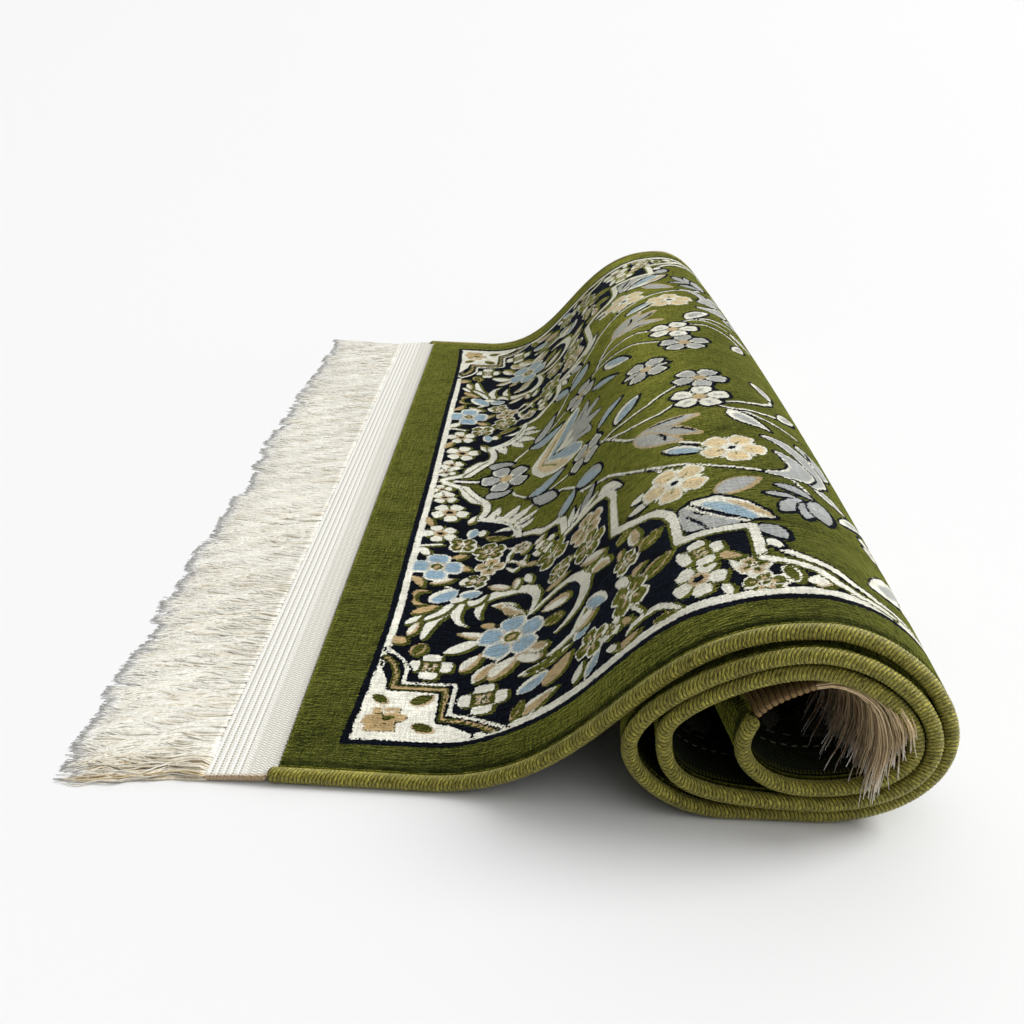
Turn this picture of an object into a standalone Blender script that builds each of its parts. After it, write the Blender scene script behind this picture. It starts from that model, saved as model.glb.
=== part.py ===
"""A prayer rug of cut pile with a fringe on both ends, lying part unrolled.

One end lies flat; the rest rises onto a loose roll of three turns that
rests on the floor.  X runs along the rug from its flat end towards the
roll, Y along the roll's axis, Z up.  Units are metres.
"""

from math import cos, radians, sin

import bmesh
import bpy
import numpy as np
from mathutils import Vector
from mathutils.geometry import interpolate_bezier

# Driving sizes of the rug.
RUG_WIDTH = 0.800          # over both overcast edges
PILE_THICKNESS = 0.0086    # backing and pile together
EDGE_WIDTH = 0.0085        # overcast cord along each long side
EDGE_ROUNDING = 0.0026     # chamfer that rounds the cord
EDGE_CLEARANCE = 0.0005    # gap between the pile and what is sewn to its edges

# Colour and roughness of the pile, the overcast yarn and the fringes.
PILE_FINISH = ((0.088, 0.098, 0.018), 0.95)
EDGE_FINISH = ((0.155, 0.160, 0.028), 0.75)
FRINGE_FINISH = ((0.76, 0.73, 0.64), 0.60)

# The woven heading and the locks of each fringe.
TAPE_WIDTH = 0.0345
TAPE_THICKNESS = 0.0032
TAPE_SEWN_HEIGHT = 0.0042  # middle of the outer tape where it meets the pile
OUTER_LOCKS = 90
INNER_LOCKS = 60
LOCK_LENGTH = 0.080
LOCK_LENGTH_SPREAD = 0.004
LOCK_FILL = 0.80           # share of its lane that a lock fills at the root
LOCK_TIP_FILL = 0.50
LOCK_SWAY = 0.10           # sideways lean of a tip, as a share of the lane
OUTER_SPLAY = 0.009        # the outer tips lean out by this at both corners
HANGING_SPLAY = 0.012      # the hanging tips lean out of the roll's mouth by this
SPLAY_DEPTH = 0.080        # less and less over this depth
OUTER_INSET = 0.0005       # the outer tape's cut ends stop this far inside the rug's sides
FRINGE_INSET = 0.004       # and the inner tape's this far

# How the roll differs along its axis, besides the far columns below.
TELESCOPE = 0.007          # the inner turns stand out by this on the near side
TELESCOPE_START = 0.30     # between these distances along the cloth
TELESCOPE_END = 0.75
LEAN = 0.008               # the roll's underside stands out from its top by this
ROLL_HEIGHT = 0.112
ROLL_START = 0.05          # the cloth leaves the floor over these distances
ROLL_END = 0.30
BOW = 0.0087               # the roll stands out half-way along by this
BOW_START = 0.25           # the bow grows between these distances
BOW_END = 0.40
TAIL_SWING = 0.011         # the wound end leans back behind its near corner
TAIL_LANES = 4             # over this many of the inner locks' lanes
TAIL_REACH = 0.070         # and this length of cloth

# Sampling of the sheet.
SECTION_STRIPS = 126       # along the section
CURVE_STEPS = 60           # points read on each arc before even spacing
SHORTEST_HANDLE = 0.2      # least handle of an arc, as a share of its chord
TAPE_STRIPS = 2            # strips across the hanging tape
FALL_STRIPS = 30           # points read along the hanging locks

INNER_LANE = (RUG_WIDTH - 2 * FRINGE_INSET) / INNER_LOCKS
TAIL_ROWS = FRINGE_INSET + INNER_LANE * np.arange(TAIL_LANES + 1)
BOW_SHARES = np.linspace(0.0, 1.0, 5)
BOW_ROWS = BOW * (1.0 - (2.0 * BOW_SHARES - 1.0) ** 2)

# The section's centre line on the near side, in millimetres, from the flat
# end to the wound end: name, x, z, how much further x and z are on the far
# side, heading in degrees (0 = +X, 90 = up) and the fullness of the arc that
# leads on to the next row.
SECTION = (
    ("flat end", 0.0, 4.3, 0, 0, 0, 0.30),
    ("foot of the rise", 83.5, 4.3, -13, 0, 0, 0.50),
    ("top, turn 1", 293.4, 112.7, -30, 9, 0, 0.47),
    ("side, turn 1", 364.4, 51.5, -41, -4, -90, 0.57),
    ("floor, turn 1 starts", 297.5, 4.3, -28, 0, 180, 0.23),
    ("floor, turn 1 ends", 252.0, 4.3, -22, 0, 180, 0.50),
    ("heel, turn 1", 196.5, 43.9, -17, 3, 90, 0.40),
    ("top, turn 2", 288.2, 103.2, -30, 9, 0, 0.49),
    ("side, turn 2", 354.7, 51.4, -41, -4, -90, 0.58),
    ("floor, turn 2", 292.5, 13.8, -25, 0, 180, 0.78),
    ("heel, turn 2", 214.3, 52.5, -17, 3, 90, 0.37),
    ("top, turn 3", 287.5, 93.6, -30, 9, 0, 0.48),
    ("side, turn 3", 345.1, 51.5, -41, -4, -90, 0.58),
    ("floor, turn 3", 291.0, 23.3, -26, 0, 180, 0.54),
    ("heel, turn 3", 255.5, 49.0, -19, 3, 90, 0.36),
    ("wound end", 260.4, 64.7, -20, 4, 60, 0.40),
)

# Where the wound end's tape and locks go from there, in the same terms.
HANGING_FRINGE = (
    ("tape's sewn edge", 260.9, 65.6, -20, 4, 57, 0.35),
    ("tape's fringe edge", 289.0, 85.0, -22, 8, 26, 0.35),
    ("over the bend", 309.0, 80.0, -29, 6, -38, 0.40),
    ("down the wall", 328.0, 58.0, -38, 0, -82, 0.40),
    ("tips", 323.0, 38.5, -36, -3, -110, 0.40),
)


def material(name, colour, roughness):
    """A plain cloth material of one colour."""
    made = bpy.data.materials.new(name)
    made.use_nodes = True
    shader = made.node_tree.nodes["Principled BSDF"]
    shader.inputs["Base Color"].default_value = (*colour, 1.0)
    shader.inputs["Roughness"].default_value = roughness
    shader.inputs["Metallic"].default_value = 0.0
    made.diffuse_color = (*colour, 1.0)
    return made


def curve_points(rows, far):
    """The smooth curve through a table's rows, as points [x, z] in metres.

    far is 0 on the near side of the rug and 1 on the far side.
    """
    points = []
    for row, following in zip(rows[:-1], rows[1:]):
        _, x0, z0, far_x0, far_z0, heading0, fullness = row
        _, x1, z1, far_x1, far_z1, heading1, _ = following
        start = Vector((x0 + far * far_x0, z0 + far * far_z0, 0.0)) / 1000
        end = Vector((x1 + far * far_x1, z1 + far * far_z1, 0.0)) / 1000
        out = Vector((cos(radians(heading0)), sin(radians(heading0)), 0.0))
        into = Vector((cos(radians(heading1)), sin(radians(heading1)), 0.0))
        chord = end - start
        shortest = SHORTEST_HANDLE * chord.length
        handle_out = start + out * (fullness * max(chord.dot(out), shortest))
        handle_in = end - into * (fullness * max(chord.dot(into), shortest))
        arc = interpolate_bezier(start, handle_out, handle_in, end, CURVE_STEPS)
        points.extend((p.x, p.y) for p in (arc if row is rows[0] else arc[1:]))
    return np.array(points)


def evenly_spaced(points, strips):
    """The same curve cut into equal strips: its points and their distances."""
    legs = np.linalg.norm(np.diff(points, axis=0), axis=1)
    travelled = np.concatenate([[0.0], np.cumsum(legs)])
    wanted = np.linspace(0.0, travelled[-1], strips + 1)
    x = np.interp(wanted, travelled, points[:, 0])
    z = np.interp(wanted, travelled, points[:, 1])
    return np.stack([x, z], axis=1), wanted


def smooth_step(value):
    held = np.clip(value, 0.0, 1.0)
    return held * held * (3.0 - 2.0 * held)


def across_the_rug(near, far, travelled, total, y):
    """A point of the sheet at y, between its near and its far section.

    The turns telescope a little, the roll leans and bows along its axis,
    and the wound end leans back behind its near corner.
    """
    share = y / RUG_WIDTH + 0.5
    x = near[0] + (far[0] - near[0]) * share
    z = near[1] + (far[1] - near[1]) * share
    rolled = smooth_step((travelled - ROLL_START) / (ROLL_END - ROLL_START))
    out = smooth_step((travelled - TELESCOPE_START) / (TELESCOPE_END - TELESCOPE_START))
    bowed = smooth_step((travelled - BOW_START) / (BOW_END - BOW_START))
    bow = bowed * np.interp(share, BOW_SHARES, BOW_ROWS)
    tail = smooth_step((travelled - (total - TAIL_REACH)) / TAIL_REACH)
    leaning = smooth_step(np.arange(TAIL_LANES + 1) / TAIL_LANES)
    behind = np.interp(share * RUG_WIDTH, TAIL_ROWS, leaning)
    lean = LEAN * (0.5 - z / ROLL_HEIGHT) * rolled
    return x + bow - TAIL_SWING * tail * behind, y - TELESCOPE * out - lean, z


def beyond_the_wound_end(near, far, y):
    """The same for the tape and the locks, which go on from the cloth's end."""
    cloth_length = 1.0
    return across_the_rug(near, far, cloth_length, cloth_length, y)


def sheet_object(name, rows_of_points, thickness, surface, collection):
    """A grid of points skinned with faces and given its thickness by Solidify."""
    columns = len(rows_of_points[0])
    mesh = bmesh.new()
    grid = [[mesh.verts.new(point) for point in row] for row in rows_of_points]
    for lower, upper in zip(grid[:-1], grid[1:]):
        for i in range(columns - 1):
            mesh.faces.new((lower[i], lower[i + 1], upper[i + 1], upper[i]))
    return solid_sheet(name, mesh, thickness, surface, collection)


def solid_sheet(name, mesh, thickness, surface, collection):
    """An object from an open sheet, with half its thickness on each side."""
    data = bpy.data.meshes.new(name)
    mesh.to_mesh(data)
    mesh.free()
    data.shade_smooth()
    data.materials.append(surface)
    made = bpy.data.objects.new(name, data)
    collection.objects.link(made)
    solidify = made.modifiers.new("thickness", "SOLIDIFY")
    solidify.thickness = thickness
    solidify.offset = 0.0
    solidify.use_even_offset = True
    return made


def rug_strip(name, edges, thickness, surface, collection):
    """A sheet along the whole wound section, with a row at each y in edges."""
    near, travelled = evenly_spaced(curve_points(SECTION, 0), SECTION_STRIPS)
    far, _ = evenly_spaced(curve_points(SECTION, 1), SECTION_STRIPS)
    total = travelled[-1]
    rows = []
    for y in edges:
        placed = [across_the_rug(*ends, total, y) for ends in zip(near, far, travelled)]
        rows.append(placed)
    return sheet_object(name, rows, thickness, surface, collection)


def build_rug(surface, collection):
    half = RUG_WIDTH / 2 - EDGE_WIDTH - EDGE_CLEARANCE
    leaning = [row - RUG_WIDTH / 2 for row in TAIL_ROWS[1:]]
    bowed = [(share - 0.5) * RUG_WIDTH for share in BOW_SHARES[1:-1]]
    edges = [-half, *leaning, *bowed, half]
    return rug_strip("rug", edges, PILE_THICKNESS, surface, collection)


def build_edge_cord(name, side, surface, collection):
    """The overcast cord along one long side, rounded by a bevel."""
    inner = side * (RUG_WIDTH / 2 - EDGE_WIDTH)
    outer = side * RUG_WIDTH / 2
    made = rug_strip(name, sorted((inner, outer)), PILE_THICKNESS, surface, collection)
    rounding = made.modifiers.new("rounding", "BEVEL")
    rounding.width = EDGE_ROUNDING
    rounding.segments = 1
    rounding.limit_method = "ANGLE"
    rounding.angle_limit = radians(60)
    return made


def lane_edges(locks, width):
    """The y of each lock's two root corners, one lane a lock."""
    lane = width / locks
    starts = -width / 2 + lane * np.arange(locks)
    margin = lane * (1.0 - LOCK_FILL) / 2
    return lane, [(start + margin, start + lane - margin) for start in starts]


def corner_splay(distance, share, most):
    """How far a lock leans out sideways, this far in from the end of its tape."""
    return most * share**2 * max(0.0, 1.0 - distance / SPLAY_DEPTH)


def fringe_object(name, locks, width, path, surface, collection):
    """A tape with locks grown from its edge, as one sheet made solid.

    path.tape_row(y) gives the tape's points across its width at y, and
    path(share, y) the point of a lock at a share of its length.
    """
    random = np.random.default_rng(locks)
    lane, lanes = lane_edges(locks, width)
    corners = [-width / 2, *(y for pair in lanes for y in pair), width / 2]
    mesh = bmesh.new()
    columns = [[mesh.verts.new(point) for point in path.tape_row(y)] for y in corners]
    for near, far in zip(columns[:-1], columns[1:]):
        for i in range(len(near) - 1):
            mesh.faces.new((near[i], near[i + 1], far[i + 1], far[i]))
    for index, sides in enumerate(lanes):
        roots = (columns[1 + 2 * index][-1], columns[2 + 2 * index][-1])
        reach = 1.0 + random.uniform(-1, 1) * LOCK_LENGTH_SPREAD / LOCK_LENGTH
        sway = random.uniform(-1, 1) * LOCK_SWAY * lane
        grow_lock(mesh, roots, sides, lane, reach, sway, path)
    return solid_sheet(name, mesh, TAPE_THICKNESS, surface, collection)


def grow_lock(mesh, roots, sides, lane, reach, sway, path):
    """Adds one tapering lock, segment by segment, from two root vertices."""
    middle = sum(sides) / 2
    last = roots
    for share in path.shares:
        fill = LOCK_FILL + (LOCK_TIP_FILL - LOCK_FILL) * share
        half = fill * lane / 2
        centre = middle + sway * share
        near = mesh.verts.new(path(share * reach, centre - half))
        far = mesh.verts.new(path(share * reach, centre + half))
        mesh.faces.new((last[0], near, far, last[1]))
        last = (near, far)


class FloorPath:
    """Locks that lie on the floor, straight out from the tape."""

    shares = (0.5, 1.0)

    def __call__(self, share, y):
        x = -EDGE_CLEARANCE - TAPE_WIDTH - LOCK_LENGTH * share
        out = corner_splay(RUG_WIDTH / 2 - abs(y), share, OUTER_SPLAY)
        return (x, y + (out if y > 0 else -out), TAPE_THICKNESS / 2)

    def tape_row(self, y):
        sewn_edge = (-EDGE_CLEARANCE, y, TAPE_SEWN_HEIGHT)
        fringe_edge = (-EDGE_CLEARANCE - TAPE_WIDTH, y, TAPE_THICKNESS / 2)
        return [sewn_edge, fringe_edge]


class HangingPath:
    """Locks that bend over and hang down the inside of the roll."""

    shares = (0.22, 0.45, 0.72, 1.0)

    def __init__(self):
        sewn = HANGING_FRINGE[:2]
        free = HANGING_FRINGE[1:]
        self.tape = [evenly_spaced(curve_points(sewn, far), TAPE_STRIPS)[0] for far in (0, 1)]
        self.fall = [evenly_spaced(curve_points(free, far), FALL_STRIPS)[0] for far in (0, 1)]

    def __call__(self, share, y):
        step = min(share, 1.0) * FALL_STRIPS
        low = min(int(step), FALL_STRIPS - 1)
        part = step - low
        near, far = (side[low] * (1 - part) + side[low + 1] * part for side in self.fall)
        x, placed_y, z = beyond_the_wound_end(near, far, y)
        out = corner_splay(y + RUG_WIDTH / 2, share, HANGING_SPLAY)
        return x, placed_y - out, z

    def tape_row(self, y):
        return [beyond_the_wound_end(near, far, y) for near, far in zip(*self.tape)]


def build_outer_fringe(surface, collection):
    width = RUG_WIDTH - 2 * OUTER_INSET
    return fringe_object(
        "fringe_outer", OUTER_LOCKS, width, FloorPath(), surface, collection
    )


def build_inner_fringe(surface, collection):
    width = RUG_WIDTH - 2 * FRINGE_INSET
    return fringe_object(
        "fringe_inner", INNER_LOCKS, width, HangingPath(), surface, collection
    )


def clear_scene():
    for old in list(bpy.data.objects):
        bpy.data.objects.remove(old, do_unlink=True)


def centre_on_floor(pieces):
    """Moves the whole rug so that the origin is under its middle, on the floor."""
    graph = bpy.context.evaluated_depsgraph_get()
    corners = []
    for piece in pieces:
        shape = piece.evaluated_get(graph).to_mesh()
        corners.extend(tuple(v.co) for v in shape.vertices)
    low = np.min(corners, axis=0)
    high = np.max(corners, axis=0)
    move = Vector((-(low[0] + high[0]) / 2, -(low[1] + high[1]) / 2, -low[2]))
    for piece in pieces:
        for vertex in piece.data.vertices:
            vertex.co += move


def main():
    clear_scene()
    collection = bpy.data.collections.new("prayer_rug")
    bpy.context.scene.collection.children.link(collection)
    pile = material("pile_olive", *PILE_FINISH)
    cord = material("edge_yarn_olive", *EDGE_FINISH)
    yarn = material("fringe_ivory", *FRINGE_FINISH)
    pieces = [
        build_rug(pile, collection),
        build_edge_cord("edge_cord_near", -1, cord, collection),
        build_edge_cord("edge_cord_far", 1, cord, collection),
        build_outer_fringe(yarn, collection),
        build_inner_fringe(yarn, collection),
    ]
    bpy.context.view_layer.update()
    centre_on_floor(pieces)


main()
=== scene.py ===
from math import cos, pi, radians, sin

import bpy
import numpy as np
from mathutils import Matrix, Vector


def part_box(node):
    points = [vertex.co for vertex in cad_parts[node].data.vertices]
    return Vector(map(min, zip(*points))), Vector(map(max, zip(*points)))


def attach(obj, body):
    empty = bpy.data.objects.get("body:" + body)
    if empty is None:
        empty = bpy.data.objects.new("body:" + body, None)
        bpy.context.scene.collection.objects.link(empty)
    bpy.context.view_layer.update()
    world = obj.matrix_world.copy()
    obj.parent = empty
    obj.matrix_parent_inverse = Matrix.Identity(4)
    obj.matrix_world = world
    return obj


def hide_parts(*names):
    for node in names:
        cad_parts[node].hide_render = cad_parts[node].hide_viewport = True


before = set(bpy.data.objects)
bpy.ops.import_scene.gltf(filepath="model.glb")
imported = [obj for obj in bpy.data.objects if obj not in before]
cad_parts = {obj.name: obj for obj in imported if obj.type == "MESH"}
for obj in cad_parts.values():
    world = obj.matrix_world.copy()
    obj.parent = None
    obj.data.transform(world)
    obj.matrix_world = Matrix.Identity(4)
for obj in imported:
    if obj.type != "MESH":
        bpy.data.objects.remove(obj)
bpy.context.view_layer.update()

# A prayer rug of cut pile, part rolled up, in metres.  Distances along the
# cloth from its flat end are u, distances across it are v (near side
# negative).  The woven pattern is drawn in millimetres of u and v.

# ---------------------------------------------------------------- driving sizes
MM = 1000.0                # millimetres in a metre
RUG_WIDTH = 0.800
HALF = 0.0043              # half the thickness of backing and pile together
PILE_EDGE = 0.391          # the pile stops here on both sides
CORD_MIDDLE = 0.39575      # centre of the overcast cord
CORD_HALF = 0.00425
TAPE_WIDTH = 0.0345
TAPE_LAP = 0.0052          # the outer tape laps over the cloth's cut end
TAPE_GAP = 0.0005
TAPE_RIBS = 10
TAPE_PICK = 0.0021         # pitch of the tapes' cross threads
LOCK_LENGTH = 0.080        # loose fringe beyond the tape
OUTER_SPLAY = 0.009        # the outer strands lean out by this at both corners
HANGING_SPLAY = 0.012      # the hanging strands lean out of the mouth by this
SPLAY_DEPTH = 0.080        # less and less over this depth
FRINGE_INSET = 0.004       # the inner tape's cut ends stop this far inside the sides
TELESCOPE = 0.007          # the inner turns stand out by this on the near side
TELESCOPE_START = 0.30     # between these distances along the cloth
TELESCOPE_END = 0.75
LEAN = 0.008               # the roll's underside stands out from its top by this
ROLL_HEIGHT = 0.112
ROLL_START = 0.05          # the cloth leaves the floor over these distances
ROLL_END = 0.30
BOW = 0.0087               # the roll stands out half-way along by this
BOW_START = 0.25           # the bow grows between these distances
BOW_END = 0.40
TAIL_SWING = 0.011         # the wound end leans back behind its near corner
TAIL_WIDTH = 0.0528        # over this much of its width
TAIL_REACH = 0.070         # and this length of cloth
SHORTEST_HANDLE = 0.2      # least handle of an arc, as a share of its chord
ARC_STEPS = 240            # points read on each arc
STITCH = 0.0022            # pitch of the overcast stitches
STITCH_LEAN = 0.0030       # a stitch leans this far along the edge on its way over it
KNOT = 0.00112             # pitch of the pile's knots

# The section's centre line on the near side in millimetres: x, z, how much
# further both are on the far side, heading and the fullness of the next arc.
SECTION = (
    (0.0, 4.3, 0, 0, 0, 0.30),
    (83.5, 4.3, -13, 0, 0, 0.50),
    (293.4, 112.7, -30, 9, 0, 0.47),
    (364.4, 51.5, -41, -4, -90, 0.57),
    (297.5, 4.3, -28, 0, 180, 0.23),
    (252.0, 4.3, -22, 0, 180, 0.50),
    (196.5, 43.9, -17, 3, 90, 0.40),
    (288.2, 103.2, -30, 9, 0, 0.49),
    (354.7, 51.4, -41, -4, -90, 0.58),
    (292.5, 13.8, -25, 0, 180, 0.78),
    (214.3, 52.5, -17, 3, 90, 0.37),
    (287.5, 93.6, -30, 9, 0, 0.48),
    (345.1, 51.5, -41, -4, -90, 0.58),
    (291.0, 23.3, -26, 0, 180, 0.54),
    (255.5, 49.0, -19, 3, 90, 0.36),
    (260.4, 64.7, -20, 4, 60, 0.40),
)
# The same for the wound end's tape and the strands that hang from it.
HANGING_TAPE = (
    (260.9, 65.6, -20, 4, 57, 0.35),
    (289.0, 85.0, -22, 8, 26, 0.35),
)
HANGING_STRANDS = (
    HANGING_TAPE[-1],
    (313.0, 82.0, -29, 6, -36, 0.45),
    (325.0, 58.0, -38, 0, -82, 0.40),
    (320.0, 30.0, -36, -3, -98, 0.40),
)
# The fitted frame has x = 0 at the flat end; this takes it to the CAD's.
SHIFT = np.array(
    [
        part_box("rug")[0].x,
        (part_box("fringe_outer")[0].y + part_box("fringe_outer")[1].y) / 2,
        0.0,
    ]
)


# ------------------------------------------------------------ the cloth's surface
def smooth_step(value):
    """Rises smoothly from 0 to 1 while the value does."""
    held = np.clip(value, 0.0, 1.0)
    return held * held * (3.0 - 2.0 * held)


def curve_points(rows, far):
    """The smooth curve through a table's rows, as points [x, z] in metres."""
    t = np.linspace(0.0, 1.0, ARC_STEPS)[:, None]
    points = []
    for row, following in zip(rows[:-1], rows[1:]):
        x0, z0, far_x0, far_z0, heading0, fullness = row
        x1, z1, far_x1, far_z1, heading1, _ = following
        start = np.array([x0 + far * far_x0, z0 + far * far_z0]) / MM
        end = np.array([x1 + far * far_x1, z1 + far * far_z1]) / MM
        out = np.array([cos(radians(heading0)), sin(radians(heading0))])
        into = np.array([cos(radians(heading1)), sin(radians(heading1))])
        chord = end - start
        shortest = SHORTEST_HANDLE * np.linalg.norm(chord)
        a = start + out * fullness * max(chord @ out, shortest)
        b = end - into * fullness * max(chord @ into, shortest)
        arc = (1 - t) ** 3 * start + 3 * (1 - t) ** 2 * t * a + 3 * (1 - t) * t * t * b + t**3 * end
        points.extend(arc if row is rows[0] else arc[1:])
    return np.array(points)


class Curve:
    """A near and a far section, read at distances along the near one."""

    def __init__(self, rows):
        self.sides = []
        for far in (0, 1):
            points = curve_points(rows, far)
            legs = np.linalg.norm(np.diff(points, axis=0), axis=1)
            self.sides.append((np.concatenate([[0.0], np.cumsum(legs)]), points))
        self.length = self.sides[0][0][-1]

    def at(self, u):
        found = []
        for travelled, points in self.sides:
            wanted = u / self.length * travelled[-1]
            found.append([np.interp(wanted, travelled, points[:, i]) for i in (0, 1)])
        return found


CLOTH = Curve(SECTION)
TAPE_PATH = Curve(HANGING_TAPE)
FALL_PATH = Curve(HANGING_STRANDS)
LENGTH = CLOTH.length


def across(curve, u, v, travelled, tail_share):
    """Points of a wound sheet, with the roll's lean, bow and telescoping."""
    (near_x, near_z), (far_x, far_z) = curve.at(u)
    share = v / RUG_WIDTH + 0.5
    x = near_x + (far_x - near_x) * share
    z = near_z + (far_z - near_z) * share
    rolled = smooth_step((travelled - ROLL_START) / (ROLL_END - ROLL_START))
    out = smooth_step((travelled - TELESCOPE_START) / (TELESCOPE_END - TELESCOPE_START))
    bowed = smooth_step((travelled - BOW_START) / (BOW_END - BOW_START))
    bow = BOW * bowed * (1.0 - (2.0 * share - 1.0) ** 2)
    behind = smooth_step((share * RUG_WIDTH - FRINGE_INSET) / TAIL_WIDTH)
    lean = LEAN * (0.5 - z / ROLL_HEIGHT) * rolled
    x = x + bow - TAIL_SWING * tail_share * behind
    return np.stack([x, v - TELESCOPE * out - lean, z], axis=-1) + SHIFT


def cloth_middle(u, v):
    """The cloth's middle surface."""
    tail = smooth_step((u - (LENGTH - TAIL_REACH)) / TAIL_REACH)
    return across(CLOTH, u, v, u, tail)


def beyond_middle(curve):
    """The middle surface of what is sewn to the wound end."""

    def middle(u, v):
        return across(curve, u, v, np.full(np.shape(u), 1.0), 1.0)

    return middle


def lifted(middle, u, v, height, step=0.0015):
    """Points at a height off a sheet's middle surface, on its pile side."""
    u, v, height = np.broadcast_arrays(u, v, height)
    along = middle(u + step, v) - middle(u - step, v)
    over = middle(u, v + step) - middle(u, v - step)
    normal = np.cross(along, over)
    normal /= np.linalg.norm(normal, axis=-1, keepdims=True)
    return middle(u, v) + normal * height[..., None]


# --------------------------------------------------------------- mesh helpers
def quads(first, second):
    """Faces between two rows of vertex numbers of the same length."""
    return np.stack([first[:-1], second[:-1], second[1:], first[1:]], axis=1).tolist()


def zipped(first, first_at, second, second_at):
    """Triangles between two rows with different spacings."""
    faces = []
    i = j = 0
    while i < len(first) - 1 or j < len(second) - 1:
        step_first = j == len(second) - 1 or (
            i < len(first) - 1 and first_at[i + 1] <= second_at[j + 1]
        )
        if step_first:
            faces.append([first[i], second[j], first[i + 1]])
            i += 1
        else:
            faces.append([first[i], second[j], second[j + 1]])
            j += 1
    return faces


def turned(faces):
    return [face[::-1] for face in faces]


def slab(upper, under):
    """The points and faces of a closed sheet between two grids of points."""
    count = upper[..., 0].size
    number = np.arange(count).reshape(upper.shape[:2])
    faces = []
    for first, second in zip(number[:-1], number[1:]):
        faces += quads(first, second)
    faces += turned([[i + count for i in face] for face in faces])
    rim = [*number[0], *number[1:, -1], *number[-1, -2::-1], *number[-2:0:-1, 0]]
    rim = [int(i) for i in rim]
    for a, b in zip(rim, rim[1:] + rim[:1]):
        faces.append([a, b, b + count, a + count])
    return np.concatenate([upper.reshape(-1, 3), under.reshape(-1, 3)]), faces


def add_object(name, data):
    made = bpy.data.objects.new(name, data)
    bpy.context.scene.collection.objects.link(made)
    return made


def make_piece(name, points, faces, node, materials):
    """A visible piece that stands for a node of the part."""
    mesh = bpy.data.meshes.new(name)
    mesh.from_pydata(np.asarray(points, np.float32).tolist(), [], faces)
    mesh.update()
    mesh.shade_smooth()
    for material in materials:
        mesh.materials.append(material)
    made = add_object(name, mesh)
    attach(made, "root")
    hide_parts(node)
    return made


def float_attribute(piece, name, values):
    layer = piece.data.attributes.new(name, "FLOAT", "POINT")
    layer.data.foreach_set("value", np.asarray(values, np.float32))


def vector_attribute(piece, name, values):
    layer = piece.data.attributes.new(name, "FLOAT_VECTOR", "POINT")
    layer.data.foreach_set("vector", np.asarray(values, np.float32).ravel())


# ------------------------------------------------------------- the woven pattern
# Each yarn colour has a field of signed distances; where two colours meet,
# both are zero, and the material shows the colour whose field is lowest.
NAVY, OLIVE, CREAM, TAN, BLUE, GREY, PEACH = range(7)
YARNS = ("navy", "olive", "cream", "tan", "blue", "grey", "peach")
REACH = 8.0                # distances are kept up to this many millimetres
SIDE = 370.0               # the pattern's frame lies at this v, in millimetres
FOLD = 430.0               # the field repeats in mirror image from here
PAST_FOLD = 450            # outlines that run on past the fold end here,
PAST_MIDDLE = 60           # and those that run on past the middle line here
CORNER_FROM = 200.0        # the end's corners are drawn out from this v,
CORNER_OVER = 170.0        # over this much,
NEAR_DRAWN = 8.0           # by this on the near side
FAR_DRAWN = 3.0            # and by this on the far one
DRAWN_UP_TO = 60.0         # and this fades beyond this u,
DRAWN_FADE = 120.0         # over this much
NO_DISTANCE = 1e-9         # keeps a division from failing
FAR_OFF = 1e3              # where a search for the nearest distance starts


def axis_at(u):
    """Where the pattern's middle line lies, as woven, a little off true."""
    return np.interp(u, [0, 60, 120, 155, 190, 235, 275, 400], [-4, -4, -5, -12, 0, 17, 19, 15])


def straightened(u, v):
    """v measured from the pattern's own middle line."""
    s = np.array(v, float)
    for _ in range(5):
        s = v - axis_at(u) * (1.0 - np.clip(s / SIDE, -1, 1) ** 2)
    return s


def folded(u):
    """u brought back to the drawn part, past the cloth's middle and the fold."""
    half = LENGTH * MM / 2
    u = np.where(u > half, 2 * half - u, u)
    beyond = u - FOLD
    back = np.minimum(beyond, half - FOLD - beyond)
    return np.where(u > FOLD, FOLD - back, u)


def squared(u, v):
    """The flat end's corners are not woven alike: the near one is drawn out."""
    near = smooth_step((-v - CORNER_FROM) / CORNER_OVER) * NEAR_DRAWN
    far = smooth_step((v - CORNER_FROM) / CORNER_OVER) * FAR_DRAWN
    fade = 1.0 - smooth_step((u - DRAWN_UP_TO) / DRAWN_FADE)
    return u + (near + far) * fade


def placed(u, v):
    """A place of the drawing in the pattern's own straight frame."""
    return float(squared(np.array(u), np.array(v))), float(straightened(u, v))


def stroke(points):
    """A line of round blobs that run into each other: rows of u, v, radius."""
    return capsules([(*placed(u, v), r) for u, v, r in points])


def from_segment(u, s, u0, s0, u1, s1):
    """How far along a segment the nearest place lies, and the way to it."""
    du, ds = u1 - u0, s1 - s0
    t = np.clip(((u - u0) * du + (s - s0) * ds) / (du * du + ds * ds + NO_DISTANCE), 0, 1)
    return t, np.hypot(u - u0 - t * du, s - s0 - t * ds)


def capsules(rows):
    """A shape is its signed distance and the box that holds it."""
    low = [min(r[i] - r[2] for r in rows) for i in (0, 1)]
    high = [max(r[i] + r[2] for r in rows) for i in (0, 1)]

    def distance(u, s):
        best = np.full(u.shape, FAR_OFF)
        for (u0, s0, r0), (u1, s1, r1) in zip(rows[:-1], rows[1:]):
            t, gap = from_segment(u, s, u0, s0, u1, s1)
            best = np.minimum(best, gap - (r0 + (r1 - r0) * t))
        return best

    return distance, (low, high)


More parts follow.
